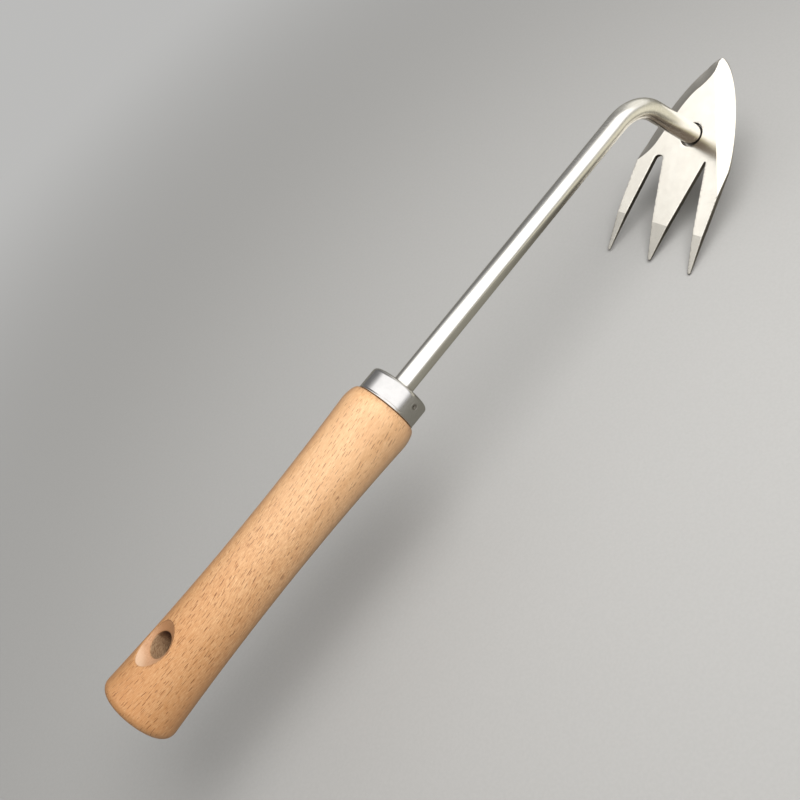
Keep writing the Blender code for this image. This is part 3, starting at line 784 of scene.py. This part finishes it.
# ----------------------------------------------------------------- weld bead
def bead_profile():
    """Closed profile as (radius, height)."""
    crown = ROD_HOLE_R + 0.55
    profile = []
    for degrees in np.linspace(0, 90, 26):
        turn = math.radians(degrees)
        profile.append((crown + (BEAD_OUT_R - crown) * math.cos(turn) ** 0.9,
                        BEAD_H * math.sin(turn)))
    for radius in np.linspace(crown, ROD_HOLE_R, 6)[1:]:
        sag = 0.12 * ((crown - radius) / (crown - ROD_HOLE_R)) ** 2
        profile.append((radius, BEAD_H * (1 - sag)))
    profile += [(ROD_HOLE_R, z) for z in np.linspace(BEAD_H * 0.88, 0.0, 6)[1:]]
    profile += [(radius, 0.0) for radius in np.linspace(ROD_HOLE_R, BEAD_OUT_R, 10)[1:-1]]
    return np.array(profile)


def build_bead():
    cols = 480
    phi = np.linspace(0, 2 * math.pi, cols, endpoint=False)
    profile = bead_profile()
    radius, z = profile[:, :1], profile[:, 1:]
    lag = (radius - ROD_HOLE_R) ** 1.4 * 0.085
    # each drop overlaps the last: a saw-like ripple with a round back
    turn = ((phi + lag) * BEAD_RIPPLES / (2 * math.pi)) % 1.0
    ripple = np.sqrt(np.clip(1 - (2 * turn - 1) ** 2, 0, 1)) ** 0.7
    live = np.clip(z / 0.3, 0, 1) * np.clip((radius - ROD_HOLE_R) / 0.5, 0, 1)
    drift = 0.04 * np.sin(3 * phi + 0.7) + 0.03 * np.sin(5 * phi + 2.1) + 0.02 * np.sin(11 * phi)
    z = z * (1 - live * (0.17 * (1 - ripple) + 0.5 * np.abs(drift)))
    radius = radius * (1 + live * (0.012 * (ripple - 0.6)
                                   + 0.25 * drift * (radius - ROD_HOLE_R) / BEAD_OUT_R))
    points = np.stack([radius * np.cos(phi), radius * np.sin(phi),
                       -z - (PLATE_T + BEAD_GAP)], -1).reshape(-1, 3)
    piece = make_piece("weld_ring", placed(points, ROD_AXIS), grid_faces(len(profile), cols, True),
                       "weld_bead", sharp_angle=60)
    store(piece, "br", radius.reshape(-1))
    return piece


# ------------------------------------------------------------ shader writing
class Value:
    """A node's output.  Arithmetic on it adds math nodes."""

    def __init__(self, tree, socket):
        self.tree = tree
        self.socket = socket

    def math(self, operation, *others):
        return self.tree.math(operation, self, *others)

    def __add__(self, other):
        return self.math("ADD", other)

    def __radd__(self, other):
        return self.tree.math("ADD", other, self)

    def __sub__(self, other):
        return self.math("SUBTRACT", other) if isinstance(other, Value) else self + -other

    def __rsub__(self, other):
        return self.tree.math("SUBTRACT", other, self)

    def __mul__(self, other):
        return self.math("MULTIPLY", other)

    def __truediv__(self, other):
        return self.math("DIVIDE", other)

    def __pow__(self, other):
        return self.math("POWER", other)

    def __abs__(self):
        return self.math("ABSOLUTE")

    def max(self, other):
        return self.math("MAXIMUM", other)

    def ramp(self, start, to, first=0.0, last=1.0, smooth=True):
        """`first` where this is at `start`, easing to `last` where it is at `to`."""
        return self.tree.node("ShaderNodeMapRange",
                              {"Value": self, "From Min": start, "From Max": to,
                               "To Min": first, "To Max": last},
                              interpolation_type="SMOOTHSTEP" if smooth else "LINEAR")

    def mix(self, low, high):
        """Colour `low` where this is 0, `high` where it is 1."""
        return self.tree.mix(self, low, high, "MIX")

    def times(self, colour):
        return self.tree.mix(1.0, self, colour, "MULTIPLY")


class Tree:
    """Writes a node tree as expressions."""

    def __init__(self, tree):
        self.tree = tree
        tree.nodes.clear()

    def node(self, kind, inputs=None, out=0, **props):
        """A new node's output, or a list of them if `out` is a tuple."""
        node = self.tree.nodes.new(kind)
        for name, prop in props.items():
            setattr(node, name, prop)
        for name, value in (inputs or {}).items():
            self.put(node.inputs[name], value)
        if isinstance(out, tuple):
            return [Value(self, node.outputs[name]) for name in out]
        return Value(self, node.outputs[out])

    def put(self, socket, value):
        if isinstance(value, Value):
            self.tree.links.new(value.socket, socket)
        else:
            socket.default_value = (*value, 1.0) if socket.type == "RGBA" else value

    def finish(self, kind, shader):
        self.put(self.tree.nodes.new(kind).inputs[0], shader)

    def math(self, operation, a, b=0.0, c=0.0):
        return self.node("ShaderNodeMath", {0: a, 1: b, 2: c}, operation=operation)

    def vec(self, x, y, z):
        return self.node("ShaderNodeCombineXYZ", {0: x, 1: y, 2: z})

    def split(self, vector):
        return self.node("ShaderNodeSeparateXYZ", {0: vector}, out=(0, 1, 2))

    def dot(self, vector, direction):
        return self.node("ShaderNodeVectorMath", {0: vector, 1: direction}, out=1,
                         operation="DOT_PRODUCT")

    def position(self):
        return self.node("ShaderNodeTexCoord", out=3)

    def millimetres(self):
        return self.node("ShaderNodeVectorMath", {0: self.position(), 3: 1.0 / MM},
                         operation="SCALE")

    def attribute(self, name):
        return self.node("ShaderNodeAttribute", out="Fac", attribute_type="GEOMETRY",
                         attribute_name=name)

    def noise(self, vector, detail, rough, scale=1.0):
        """Noise over a vector, or over a tuple of x, y and z: there the factors are
        cells per unit, small along a streak and large across it."""
        if isinstance(vector, tuple):
            vector = self.vec(*vector)
        return self.node("ShaderNodeTexNoise", {"Vector": vector, "Scale": scale,
                                                "Detail": detail, "Roughness": rough})

    def scratches(self, vector, density, width, scale=1.0):
        """Thin random lines: stretched noise crossed with a mask."""
        line = abs(self.noise(vector, 2, 0.5, scale) - 0.5).ramp(width, to=0)
        mask = self.noise(vector, 1, 0.5, scale * 0.37)
        return line * mask.ramp(density, to=density + 0.1)

    def mix(self, factor, low, high, kind):
        return self.node("ShaderNodeMix", {0: factor, 6: low, 7: high}, out=2,
                         data_type="RGBA", blend_type=kind, clamp_factor=True)

    def bump(self, height, strength, distance, **normal):
        return self.node("ShaderNodeBump", {"Height": height, "Strength": strength,
                                            "Distance": distance, **normal})

    def principled(self, **inputs):
        return self.node("ShaderNodeBsdfPrincipled",
                         {name.replace("_", " "): value for name, value in inputs.items()})


def new_material(name, paint):
    """A material whose surface is what `paint` returns."""
    mat = bpy.data.materials.new(name)
    mat.use_nodes = True
    tree = Tree(mat.node_tree)
    tree.finish("ShaderNodeOutputMaterial", paint(tree))
    return mat


# --------------------------------------------------------------------- beech
RAY_ANGLE = math.radians(48)
RAY_COS, RAY_SIN = math.cos(RAY_ANGLE), math.sin(RAY_ANGLE)


def ray_flecks(tree, x, ray, ring, cell, half, seed, keep):
    """Short dashes, one to a cell.  `cell` and `half` are (length, thickness) of
    the cells and of half a dash; a higher `keep` leaves out more dashes."""
    slab = ((ray + seed) * 0.21).math("FLOOR")
    u = x * (1.0 / cell[0]) + (slab * 13.73 + seed)
    v = ring * (1.0 / cell[1]) + slab * 7.31
    place, chance = tree.node("ShaderNodeTexVoronoi",
                              {"Vector": tree.vec(u, v, 0.0), "Scale": 1.0, "Randomness": 0.92},
                              out=("Position", "Color"), voronoi_dimensions="2D",
                              feature="F1", distance="EUCLIDEAN")
    place_u, place_v, _ = tree.split(place)
    shown, long, thick = tree.split(chance)
    off_u = (u - place_u) * cell[0]
    off_v = (v - place_v) * cell[1]
    # each fleck has its own length, and tapers to its ends
    length = half[0] * 0.55 + long * (half[0] * 0.9)
    width = half[1] * 0.6 + thick * (half[1] * 0.8)
    reach = abs(off_u / length) ** 2.6 + abs(off_v / width) ** 2.0
    return reach.ramp(1.35, to=0.45) * shown.ramp(keep, to=keep + 0.3)


def beech(tree):
    x, y, z = tree.split(tree.millimetres())
    # across the grain: `ray` runs out of the tree and `ring` along the rings
    straight_ray = y * -RAY_COS + z * RAY_SIN
    straight_ring = y * RAY_SIN + z * RAY_COS
    # slow drift so that the grain isn't ruled with a straightedge
    drift = tree.noise((x * 0.012, straight_ray * 0.03, straight_ring * 0.03), 2, 0.5)
    bend = (drift - 0.5) * 5.0
    lean = x * 0.05 + (x - 36.0).math("SMOOTH_MAX", 0.0, 14.0) * -0.155
    ring = straight_ring + bend + lean
    ray = straight_ray + bend * 0.6

    # growth rings: wide, faint bands
    waver = tree.noise((x * 0.0035, ray * 0.17, ring * 0.045), 2, 0.5)
    growth = (ray * 1.55 + waver * 7.0).math("SINE").ramp(-1, to=1)
    # fibres run with the grain; mottle is short pale and dark cells between them
    fibre = tree.noise((x * 0.045, ray * 2.6, ring * 2.6), 4, 0.6)
    fine = tree.noise((x * 0.30, ray * 9.0, ring * 9.0), 3, 0.6)
    tone = tree.noise((x * 0.02, straight_ray * 0.09, straight_ring * 0.09), 2, 0.5)
    mottle = tree.noise((x * 0.52, ray * 2.0, ring * 4.4), 4, 0.70)

    # ray flecks: thin sheets that hold through a slab of wood, seen end on
    grain = tree, x, ray, ring
    large = ray_flecks(*grain, cell=(3.4, 1.30), half=(0.90, 0.093), seed=0.0, keep=0.05)
    small = ray_flecks(*grain, cell=(2.5, 1.00), half=(0.46, 0.062), seed=31.7, keep=0.42)
    sparse = ray_flecks(*grain, cell=(7.0, 2.9), half=(1.15, 0.112), seed=77.1, keep=0.22)
    fleck = large.max(small * 0.66).max(sparse)
    # on the quartered sides the sheets lie flat, and show only as a faint sheen
    normal = tree.node("ShaderNodeNewGeometry", out=1)
    flat = abs(tree.dot(normal, (0.0, RAY_SIN, RAY_COS)))
    fleck = fleck * flat.ramp(0.62, to=0.95, first=1.0, last=0.26)
    # painted highlight: the marks fade towards the ferrule, where the grip is lit paler
    fleck = fleck * x.ramp(62, to=112, first=1.0, last=0.78)
    # pores: pale-brown hairlines between the flecks
    pore = tree.node("ShaderNodeTexVoronoi",
                     {"Vector": tree.vec(x * 0.42, ray * 3.3, ring * 4.6), "Scale": 1.0},
                     feature="F1").ramp(0.24, to=0.08)

    light = (0.745, 0.480, 0.262)
    mid = (0.640, 0.366, 0.176)
    warm = (0.570, 0.298, 0.130)
    base = fibre.ramp(0.33, to=0.70).mix(mid, light)
    base = (tone.ramp(0.42, to=0.70) * 0.45).mix(base, warm)
    base = (growth * 0.20).mix(base, warm)
    base = (fine.ramp(0.5, to=0.75) * 0.20).mix(base, (0.76, 0.52, 0.31))
    # painted highlight: the mottle fades towards the ferrule, where the grip is lit paler
    lively = x.ramp(62, to=112, first=1.0, last=0.42)
    base = (mottle.ramp(0.56, to=0.36, last=0.74) * lively).mix(base, (0.44, 0.215, 0.088))
    base = (mottle.ramp(0.52, to=0.70, last=0.72) * lively).mix(base, (0.86, 0.62, 0.37))
    base = (pore * 0.36).mix(base, (0.40, 0.195, 0.078))
    fleck_colour = fibre.ramp(0.3, to=0.7).mix((0.150, 0.050, 0.012), (0.260, 0.102, 0.028))
    # painted shade: the wood darkens slowly towards the butt, as the light falls off along the
    # handle
    base = x.ramp(108, to=5, last=0.60, smooth=False).mix(base, (0.430, 0.178, 0.050))
    base = (fleck * 0.96).mix(base, fleck_colour)
    # painted shade with some handling wear: browner at the butt's rim and in the crease just
    # behind the ferrule
    rim = x.ramp(4.5, to=0.6).max(x.ramp(127.0, to=130.3) * 0.5)
    spots = tree.noise((x * 0.30, y * 0.30, z * 0.30), 4, 0.6)
    rim = rim * spots.ramp(0.30, to=0.62, first=0.45)
    base = (rim * 0.42).mix(base, (0.36, 0.175, 0.070))
    raw, bore = tree.attribute("raw"), tree.attribute("bore")
    # painted shade: darker where the surface turns away from the camera
    turned_away_shade = tree.node("ShaderNodeLayerWeight", {"Blend": 0.5}, out=1)
    base = turned_away_shade.ramp(0.45, to=0.92, last=0.66).mix(base, (0.34, 0.152, 0.056))

    # freshly cut, uncoated wood in the countersinks: paler on the butt side as painted light,
    # darker towards +X as painted shade with some burnish
    cut = fine.ramp(0.35, to=0.7).mix((0.440, 0.240, 0.135), (0.580, 0.355, 0.220))
    cut = (fleck * 0.35).mix(cut, (0.36, 0.19, 0.10))
    sink_x = x + y * -0.35
    # painted light: the cones are paler on the butt side
    cut = sink_x.ramp(HANG_X - 5.0, to=HANG_X - 8.2, last=0.50).mix(cut, (0.80, 0.60, 0.44))
    # painted shade with some burnish: the cones darken towards +X
    burn_and_shade = sink_x.ramp(HANG_X - 5.0, to=HANG_X + 5.5)
    cut = (burn_and_shade * 0.85).mix(cut, (0.34, 0.165, 0.072))
    cut_edge = raw.ramp(0.02, to=0.20) * raw.ramp(0.85, to=0.30)
    base = (raw.ramp(0.15, to=0.75) * 0.92).mix(base, cut)
    base = (cut_edge * (0.22 + burn_and_shade * 0.6)).mix(base, (0.20, 0.090, 0.036))
    # inside the bore: painted light on the wall towards the butt, and painted shade, brown to near
    # black, deeper in towards +X
    bore_tone_noise = tree.noise((x * 0.9, y * 0.9, z * 4.0), 3, 0.5)
    brown = bore_tone_noise.ramp(0.35, to=0.65).mix((0.130, 0.058, 0.026), (0.31, 0.160, 0.078))
    pale = bore_tone_noise.ramp(0.38, to=0.62).mix((0.27, 0.160, 0.088), (0.46, 0.305, 0.185))
    brown = (x + y * -0.5).ramp(HANG_X - 3.5, to=HANG_X + 2.5).mix(pale, brown)
    # painted shade: near black deep in the hole
    brown = x.ramp(HANG_X, to=HANG_X + 4.0).mix(brown, (0.052, 0.018, 0.007))
    base = bore.ramp(0.1, to=0.8).mix(base, brown)

    coat = (1.0 - raw.max(bore)) * x.ramp(25, to=100, first=0.25, last=0.95)
    rough = 0.46 + (fibre - 0.5) * 0.22
    rough = rough + raw.max(bore) * 0.28 + fleck * 0.12
    height = fleck * -0.75 + (pore * -0.30 + fine * 0.35)
    relief = tree.bump(height, strength=0.5, distance=0.00006)
    # fine scuffs from use
    cracks = tree.node("ShaderNodeTexVoronoi",
                       {"Vector": tree.vec(x * 0.055, y * 0.055, z * 0.055), "Scale": 1.0},
                       feature="DISTANCE_TO_EDGE")
    scuff = cracks.ramp(0.018, to=0) * spots.ramp(0.55, to=0.66)
    relief = tree.bump(scuff, strength=0.25, distance=0.00008, Normal=relief)
    return tree.principled(Base_Color=base, Roughness=rough, Normal=relief, Coat_Weight=coat,
                           Coat_Roughness=0.38, Coat_IOR=1.72, Specular_IOR_Level=0.42)


# -------------------------------------------------------------------- steels
def satin_steel(tree):
    x, y, z = tree.split(tree.millimetres())
    radius = (y * y + z * z).math("SQRT")
    # polishing lines run round the cup: they change with x and with radius
    lines = tree.noise((x * 11.0, radius * 11.0, 0.3), 4, 0.7)
    fine = tree.noise((x * 26.0, radius * 26.0, (y + z) * 0.05), 2, 0.6)
    cloud = tree.noise((x * 0.35, y * 0.35, z * 0.35), 4, 0.6)
    pit = tree.attribute("pit")
    tiny = tree.scratches(tree.vec(x * 1.6, y * 0.25, z * 0.4), density=0.52, width=0.010)
    base = cloud.ramp(0.35, to=0.7).mix((0.605, 0.599, 0.606), (0.640, 0.633, 0.640))
    base = (lines.ramp(0.5, to=0.75) * 0.25).mix(base, (0.60, 0.59, 0.585))
    # darker in the punch mark, as painted shade, and at the cut end
    base = (pit.ramp(0.02, to=0.4) * 0.75).mix(base, (0.22, 0.20, 0.185))
    cut_end = x.ramp(FERRULE_START + 0.35, to=FERRULE_START)
    base = (cut_end * 0.5).mix(base, (0.42, 0.38, 0.34))
    rough = 0.10 + lines * 0.09 + cloud * 0.05 + pit * 0.06
    height = lines * 0.55 + (fine * 0.35 + tiny * -0.8)
    relief = tree.bump(height, strength=0.16, distance=0.00004)
    tangent = tree.node("ShaderNodeTangent", direction_type="RADIAL", axis="X")
    return tree.principled(Base_Color=base, Metallic=1.0, Roughness=rough, Normal=relief,
                           Anisotropic=0.40, Tangent=tangent)


def drawn_steel(tree):
    along, u, v = map(tree.attribute, ("along", "ring_u", "ring_v"))
    # drawing lines run along the bar
    lines = tree.noise((along * 0.035, u * 22.0, v * 22.0), 4, 0.65)
    fine = tree.noise((along * 0.12, u * 60.0, v * 60.0), 2, 0.6)
    cloud = tree.noise((along * 0.06, u * 1.4, v * 1.4), 4, 0.6)
    # polishing marks lie across it
    cross = tree.noise((along * 7.0, u * 1.2, v * 1.2), 3, 0.6)
    marks = tree.scratches(tree.vec(along * 0.5, u * 2.2, v * 3.1), density=0.54, width=0.008,
                           scale=1.3)
    base = cloud.ramp(0.35, to=0.7).mix((0.80, 0.785, 0.755), (0.87, 0.86, 0.84))
    base = (lines.ramp(0.52, to=0.72) * 0.20).mix(base, (0.66, 0.645, 0.615))
    # painted shade: a faint brown line where the bar enters the ferrule
    base = (along.ramp(64.0, to=61.5) * 0.45).mix(base, (0.30, 0.26, 0.21))
    rough = 0.10 + cloud * 0.07 + cross.ramp(0.45, to=0.8) * 0.05 + marks * 0.12
    # the bar was polished by hand after bending, and is a little duller there
    rough = rough + along.ramp(120, to=182, last=0.11)
    height = lines * 0.5 + (fine * 0.2 + (cross * 0.22 + marks * -0.6))
    relief = tree.bump(height, strength=0.12, distance=0.00003)
    return tree.principled(Base_Color=base, Metallic=1.0, Roughness=rough, Normal=relief)


def polished_steel(tree):
    x, y, z, kind = map(tree.attribute, ("lx", "ly", "lz", "face_kind"))
    # belt polishing: long fine lines, mostly along the head, and random hairlines
    belt = tree.noise((x * 0.16, y * 9.0, 0.0), 4, 0.65)
    slanted = tree.noise(((x + y * 0.6) * 0.10, (y + x * -0.6) * 5.0, 3.1), 3, 0.6)
    cloud = tree.noise((x * 0.14, y * 0.14, z * 0.14), 4, 0.6)
    wave = tree.noise((x * 0.085, y * 0.085, 7.0), 2, 0.5)
    hair = tree.scratches(tree.vec(x * 0.30, y * 0.05, 1.0), density=0.55, width=0.0035).max(
        tree.scratches(tree.vec(x * 0.06, y * 0.24, 5.0), density=0.55, width=0.0035))
    # stone marks lie across each ground edge: the tine bevels and the blade's
    ground = kind.ramp(0.5, to=1.0) * kind.ramp(3.5, to=3.0)
    tine_marks = tree.noise((y * 8.0, x * 0.25, 2.0), 4, 0.7)
    blade_marks = tree.noise(((x * 0.91 + y * 0.42) * 8.0, y * 0.25, 9.0), 4, 0.7)
    is_tine = kind.ramp(0.5, to=1.0) * kind.ramp(1.5, to=1.0)
    stone = tine_marks * is_tine + blade_marks * (1.0 - is_tine)
    back = kind.ramp(3.5, to=4.0) * kind.ramp(4.5, to=4.0)
    is_wall = kind.ramp(4.5, to=5.0)

    base = cloud.ramp(0.3, to=0.75).mix((0.870, 0.835, 0.765), (0.920, 0.892, 0.825))
    base = (belt.ramp(0.55, to=0.8) * 0.12).mix(base, (0.74, 0.72, 0.69))
    base = (ground * stone.ramp(0.45, to=0.75, last=0.22)).mix(base, (0.66, 0.645, 0.61))
    base = (is_wall * 0.80).mix(base, (0.30, 0.29, 0.27))
    # painted shade in the gap round the bar: the eye's own wall is much darker
    eye_wall_shade = is_wall * (x * x + y * y).math("SQRT").ramp(6.4, to=5.6)
    base = (eye_wall_shade * 0.85).mix(base, (0.110, 0.088, 0.076))
    # heat tint round the weld, on the back only
    radius = (x * x + (y + PLATE_SHIFT) * (y + PLATE_SHIFT)).math("SQRT")
    radius = radius + (cloud - 0.5) * 3.0
    straw = radius.ramp(13.0, to=9.5) * back
    brown = radius.ramp(10.6, to=8.8) * back
    blue = radius.ramp(9.3, to=8.0) * back
    base = (straw * 0.55).mix(base, (0.72, 0.56, 0.30))
    base = (brown * 0.6).mix(base, (0.42, 0.24, 0.16))
    base = (blue * 0.65).mix(base, (0.17, 0.20, 0.32))

    flat_top = kind.ramp(0.5, to=0)
    rough = 0.055 + belt.ramp(0.4, to=0.85) * 0.05
    rough = rough + flat_top * 0.105 + cloud * 0.05 + hair * 0.07
    rough = rough + ground * (0.05 + stone * 0.08)
    rough = rough + back * (0.14 + slanted * 0.10)
    rough = rough + is_wall * 0.28 + brown * 0.12
    height = belt * 0.16 + (slanted * 0.10 + hair * -0.2)
    height = height + ground * (stone * 0.9) + back * (slanted * 0.8)
    shear = tree.noise((x * 1.2, y * 1.2, z * 9.0), 3, 0.6)
    height = height + is_wall * (shear * 0.9)
    relief = tree.bump(wave, strength=0.30, distance=0.00022)
    relief = tree.bump(height, strength=0.10, distance=0.00003, Normal=relief)
    return tree.principled(Base_Color=base, Metallic=1.0, Roughness=rough, Normal=relief)


def weld_steel(tree):
    place = tree.millimetres()
    radius = tree.attribute("br")
    grain = tree.noise(place, 5, 0.65, scale=1.1)
    patches = tree.noise(place, 3, 0.5, scale=0.28)
    # heat tints in rings: straw, brown, blue
    heat = radius + (patches - 0.5) * 2.4
    base = heat.ramp(5.0, to=6.2).mix((0.60, 0.585, 0.56), (0.55, 0.45, 0.30))
    base = heat.ramp(6.1, to=7.0).mix(base, (0.34, 0.22, 0.17))
    base = heat.ramp(6.9, to=7.7).mix(base, (0.20, 0.22, 0.32))
    base = (grain.ramp(0.5, to=0.8) * 0.35).mix(base, (0.20, 0.18, 0.165))
    rough = 0.26 + grain * 0.24
    relief = tree.bump(grain, strength=0.35, distance=0.00008)
    return tree.principled(Base_Color=base, Metallic=1.0, Roughness=rough, Normal=relief)


# --------------------------------------------------------------------- floor
# metres from here on
FLOOR_X, FLOOR_GAP, FLOOR_SIDES = 0.16, 0.0006, 96
FLOOR_RINGS = (0.35, 0.7, 1.1, 1.6, 2.4, 3.6)


def build_floor():
    """A pale, plain round sheet under the lowest tine."""
    floor_z = cad_lo.z - FLOOR_GAP
    bm = bmesh.new()
    centre = bm.verts.new((FLOOR_X, 0.0, floor_z))
    turns = np.linspace(0, 2 * math.pi, FLOOR_SIDES, endpoint=False)
    inner = None
    for radius in FLOOR_RINGS:
        ring = [bm.verts.new((FLOOR_X + radius * math.cos(turn), radius * math.sin(turn), floor_z))
                for turn in turns]
        for i in range(FLOOR_SIDES):
            k = (i + 1) % FLOOR_SIDES
            if inner is None:
                bm.faces.new((centre, ring[i], ring[k]))
            else:
                bm.faces.new((inner[i], ring[i], ring[k], inner[k]))
        inner = ring
    mesh = bpy.data.meshes.new("floor")
    bm.to_mesh(mesh)
    bm.free()
    floor = bpy.data.objects.new("floor", mesh)
    bpy.context.scene.collection.objects.link(floor)
    mesh.materials.append(new_material("floor_paper", floor_paper))


def floor_paper(tree):
    camera_ray, glossy_ray = tree.node("ShaderNodeLightPath",
                                       out=("Is Camera Ray", "Is Glossy Ray"))
    place = tree.position()
    speck = tree.noise(place, 3, 0.6, scale=900.0)
    colour = speck.ramp(0.3, to=0.7).mix((0.403, 0.402, 0.400), (0.417, 0.416, 0.414))
    # what the bright metal sees of the floor is deeper than what the camera sees,
    # as when the sheet falls off into shade round the tool
    x, y, _ = tree.split(place)
    away = ((x - 0.305) ** 2.0 + (y + 0.020) ** 2.0).math("SQRT")
    deep = away.ramp(0.025, to=0.115).mix((0.060, 0.053, 0.043), (0.190, 0.184, 0.158))
    deep = away.ramp(0.13, to=0.50).mix(deep, (0.36, 0.35, 0.31))
    # a painted pool of light in what the metal sees, close round the head
    lit = x.ramp(0.275, to=0.330) * y.ramp(-0.004, to=-0.036) * away.ramp(0.006, to=0.052)
    deep = lit.mix(deep, (0.60, 0.575, 0.47))
    colour = glossy_ray.mix(colour, deep)
    sheet = tree.principled(Base_Color=colour, Roughness=0.9, Specular_IOR_Level=0.15,
                            Normal=tree.bump(speck, strength=0.05, distance=0.00006))
    # seen directly, the sheet rises out of focus into the backdrop's own tone
    glow = tree.node("ShaderNodeEmission", {"Color": (0.50, 0.498, 0.490), "Strength": 1.0})
    span = ((x - FLOOR_X) ** 2.0 + y ** 2.0).math("SQRT")
    rise = span.ramp(0.20, to=0.80) * camera_ray
    return tree.node("ShaderNodeMixShader", {0: rise, 1: sheet, 2: glow})


# -------------------------------------------------------------- surroundings
SKY_STRENGTH = 2.0
LEVEL_LOW, LEVEL_HIGH = -1.0, 2.0
# level, brightness
SKY_STOPS = [(-0.10, 0.20), (0.10, 0.21), (0.36, 0.23), (0.52, 0.30), (0.62, 0.47), (0.66, 0.58),
             (0.70, 0.75), (0.75, 0.92), (0.77, 1.06), (0.79, 1.28), (0.82, 1.48), (1.0, 1.60)]
FIGURE = Vector((-0.837, 0.308, -0.451)).normalized()


def sky_brightness(tree, level):
    position = level.ramp(LEVEL_LOW, to=LEVEL_HIGH, smooth=False)
    sky = tree.node("ShaderNodeValToRGB", {0: position})
    color_ramp = sky.socket.node.color_ramp
    color_ramp.interpolation = "LINEAR"
    stops = color_ramp.elements
    stops.remove(stops[-1])
    for i, (height, brightness) in enumerate(SKY_STOPS):
        place = (height - LEVEL_LOW) / (LEVEL_HIGH - LEVEL_LOW)
        stop = stops[0] if i == 0 else stops.new(place)
        stop.position = place
        stop.color = (*[brightness / SKY_STRENGTH] * 3, 1)
    return sky


def build_world():
    """A wide soft light overhead that fades to dimmer walls."""
    world = bpy.data.worlds.new("studio")
    bpy.context.scene.world = world
    world.use_nodes = True
    tree = Tree(world.node_tree)
    direction = tree.node("ShaderNodeTexCoord", out=0)
    x, y, z = tree.split(direction)
    # the soft light reaches down to the horizon behind the camera, stops high above
    # the far side, and falls off beyond the head
    level = z + y.ramp(0.45, to=-0.55) * 0.62
    level = level + (x - 0.2).max(0.0) * y.ramp(-0.6, to=0.5) * -1.4
    sky = sky_brightness(tree, level).times((1.0, 0.985, 0.955))
    camera_ray, diffuse_ray = tree.node("ShaderNodeLightPath",
                                        out=("Is Camera Ray", "Is Diffuse Ray"))
    # the end beyond the head is a grey wall with a brighter patch in it
    wall = x.ramp(0.42, to=0.80) * level.ramp(0.72, to=0.50)
    sky = wall.mix(sky, (0.235, 0.230, 0.210))
    doorway = x.ramp(0.74, to=0.90) * y.ramp(0.52, to=0.28)
    sky = doorway.mix(sky, (0.50, 0.485, 0.440))
    # a dark figure stands on the handle's side
    side = tree.dot(direction, FIGURE)
    gate = (z.ramp(0.74, to=0.60) * y.ramp(0.56, to=0.42)).max(
        z.ramp(0.92, to=0.80) * y.ramp(0.10, to=-0.15))
    gate = gate * x.ramp(0.02, to=-0.18)
    gate = gate * (1.0 - diffuse_ray)
    sky = (side.ramp(-0.58, to=0) * gate).mix(sky, (0.33, 0.305, 0.215))
    sky = (side.ramp(-0.05, to=0.17) * gate).mix(sky, (0.088, 0.068, 0.053))
    # matt surfaces get less of it, and the camera sees a plain backdrop
    sky = diffuse_ray.mix(sky, sky.times((0.42, 0.42, 0.42)))
    shown = camera_ray.mix(sky, (0.25, 0.249, 0.245))
    background = tree.node("ShaderNodeBackground", {"Color": shown, "Strength": SKY_STRENGTH})
    tree.finish("ShaderNodeOutputWorld", background)


def build_key_light():
    data = bpy.data.lights.new("key", "AREA")
    data.shape = "RECTANGLE"
    data.size = data.size_y = 0.34
    data.energy = 2.35
    data.color = (1.0, 0.985, 0.955)
    key = bpy.data.objects.new("key", data)
    bpy.context.scene.collection.objects.link(key)
    location, target = Vector((0.27, -0.16, 0.36)), Vector((0.13, 0.0, 0.0))
    key.location = location
    key.rotation_euler = (target - location).to_track_quat("-Z", "Y").to_euler()
    key.visible_camera = False
    key.visible_glossy = False


def build_camera():
    data = bpy.data.cameras.new("camera")
    data.sensor_fit = "HORIZONTAL"
    data.sensor_width = 36.0
    data.lens = 38.257335
    data.clip_start = 0.01
    data.clip_end = 20.0
    camera = bpy.data.objects.new("camera", data)
    bpy.context.scene.collection.objects.link(camera)
    right = (0.62440727, -0.58814088, -0.5140096)
    up = (0.76727182, 0.3385631, 0.54467328)
    back = (-0.14631994, -0.73448304, 0.66266518)
    place = (0.09229790, -0.22106066, 0.19629962)
    camera.matrix_world = Matrix(((*right, 0), (*up, 0), (*back, 0), (*place, 1))).transposed()
    bpy.context.scene.camera = camera


# --------------------------------------------------------------------- build
pieces = [build() for build in (build_handle, build_ferrule, build_shank, build_head, build_bead)]
looks = (("beech_oiled", beech), ("ferrule_satin_steel", satin_steel),
         ("shank_drawn_steel", drawn_steel), ("head_polished_steel", polished_steel),
         ("weld_tinted_steel", weld_steel))
for piece, (name, paint) in zip(pieces, looks):
    piece.data.materials.clear()
    piece.data.materials.append(new_material(name, paint))

view = bpy.context.scene.view_settings
view.view_transform = "Standard"
view.look = "None"
view.exposure = 0.0
view.gamma = 1.0
build_floor()
build_world()
build_key_light()
build_camera()
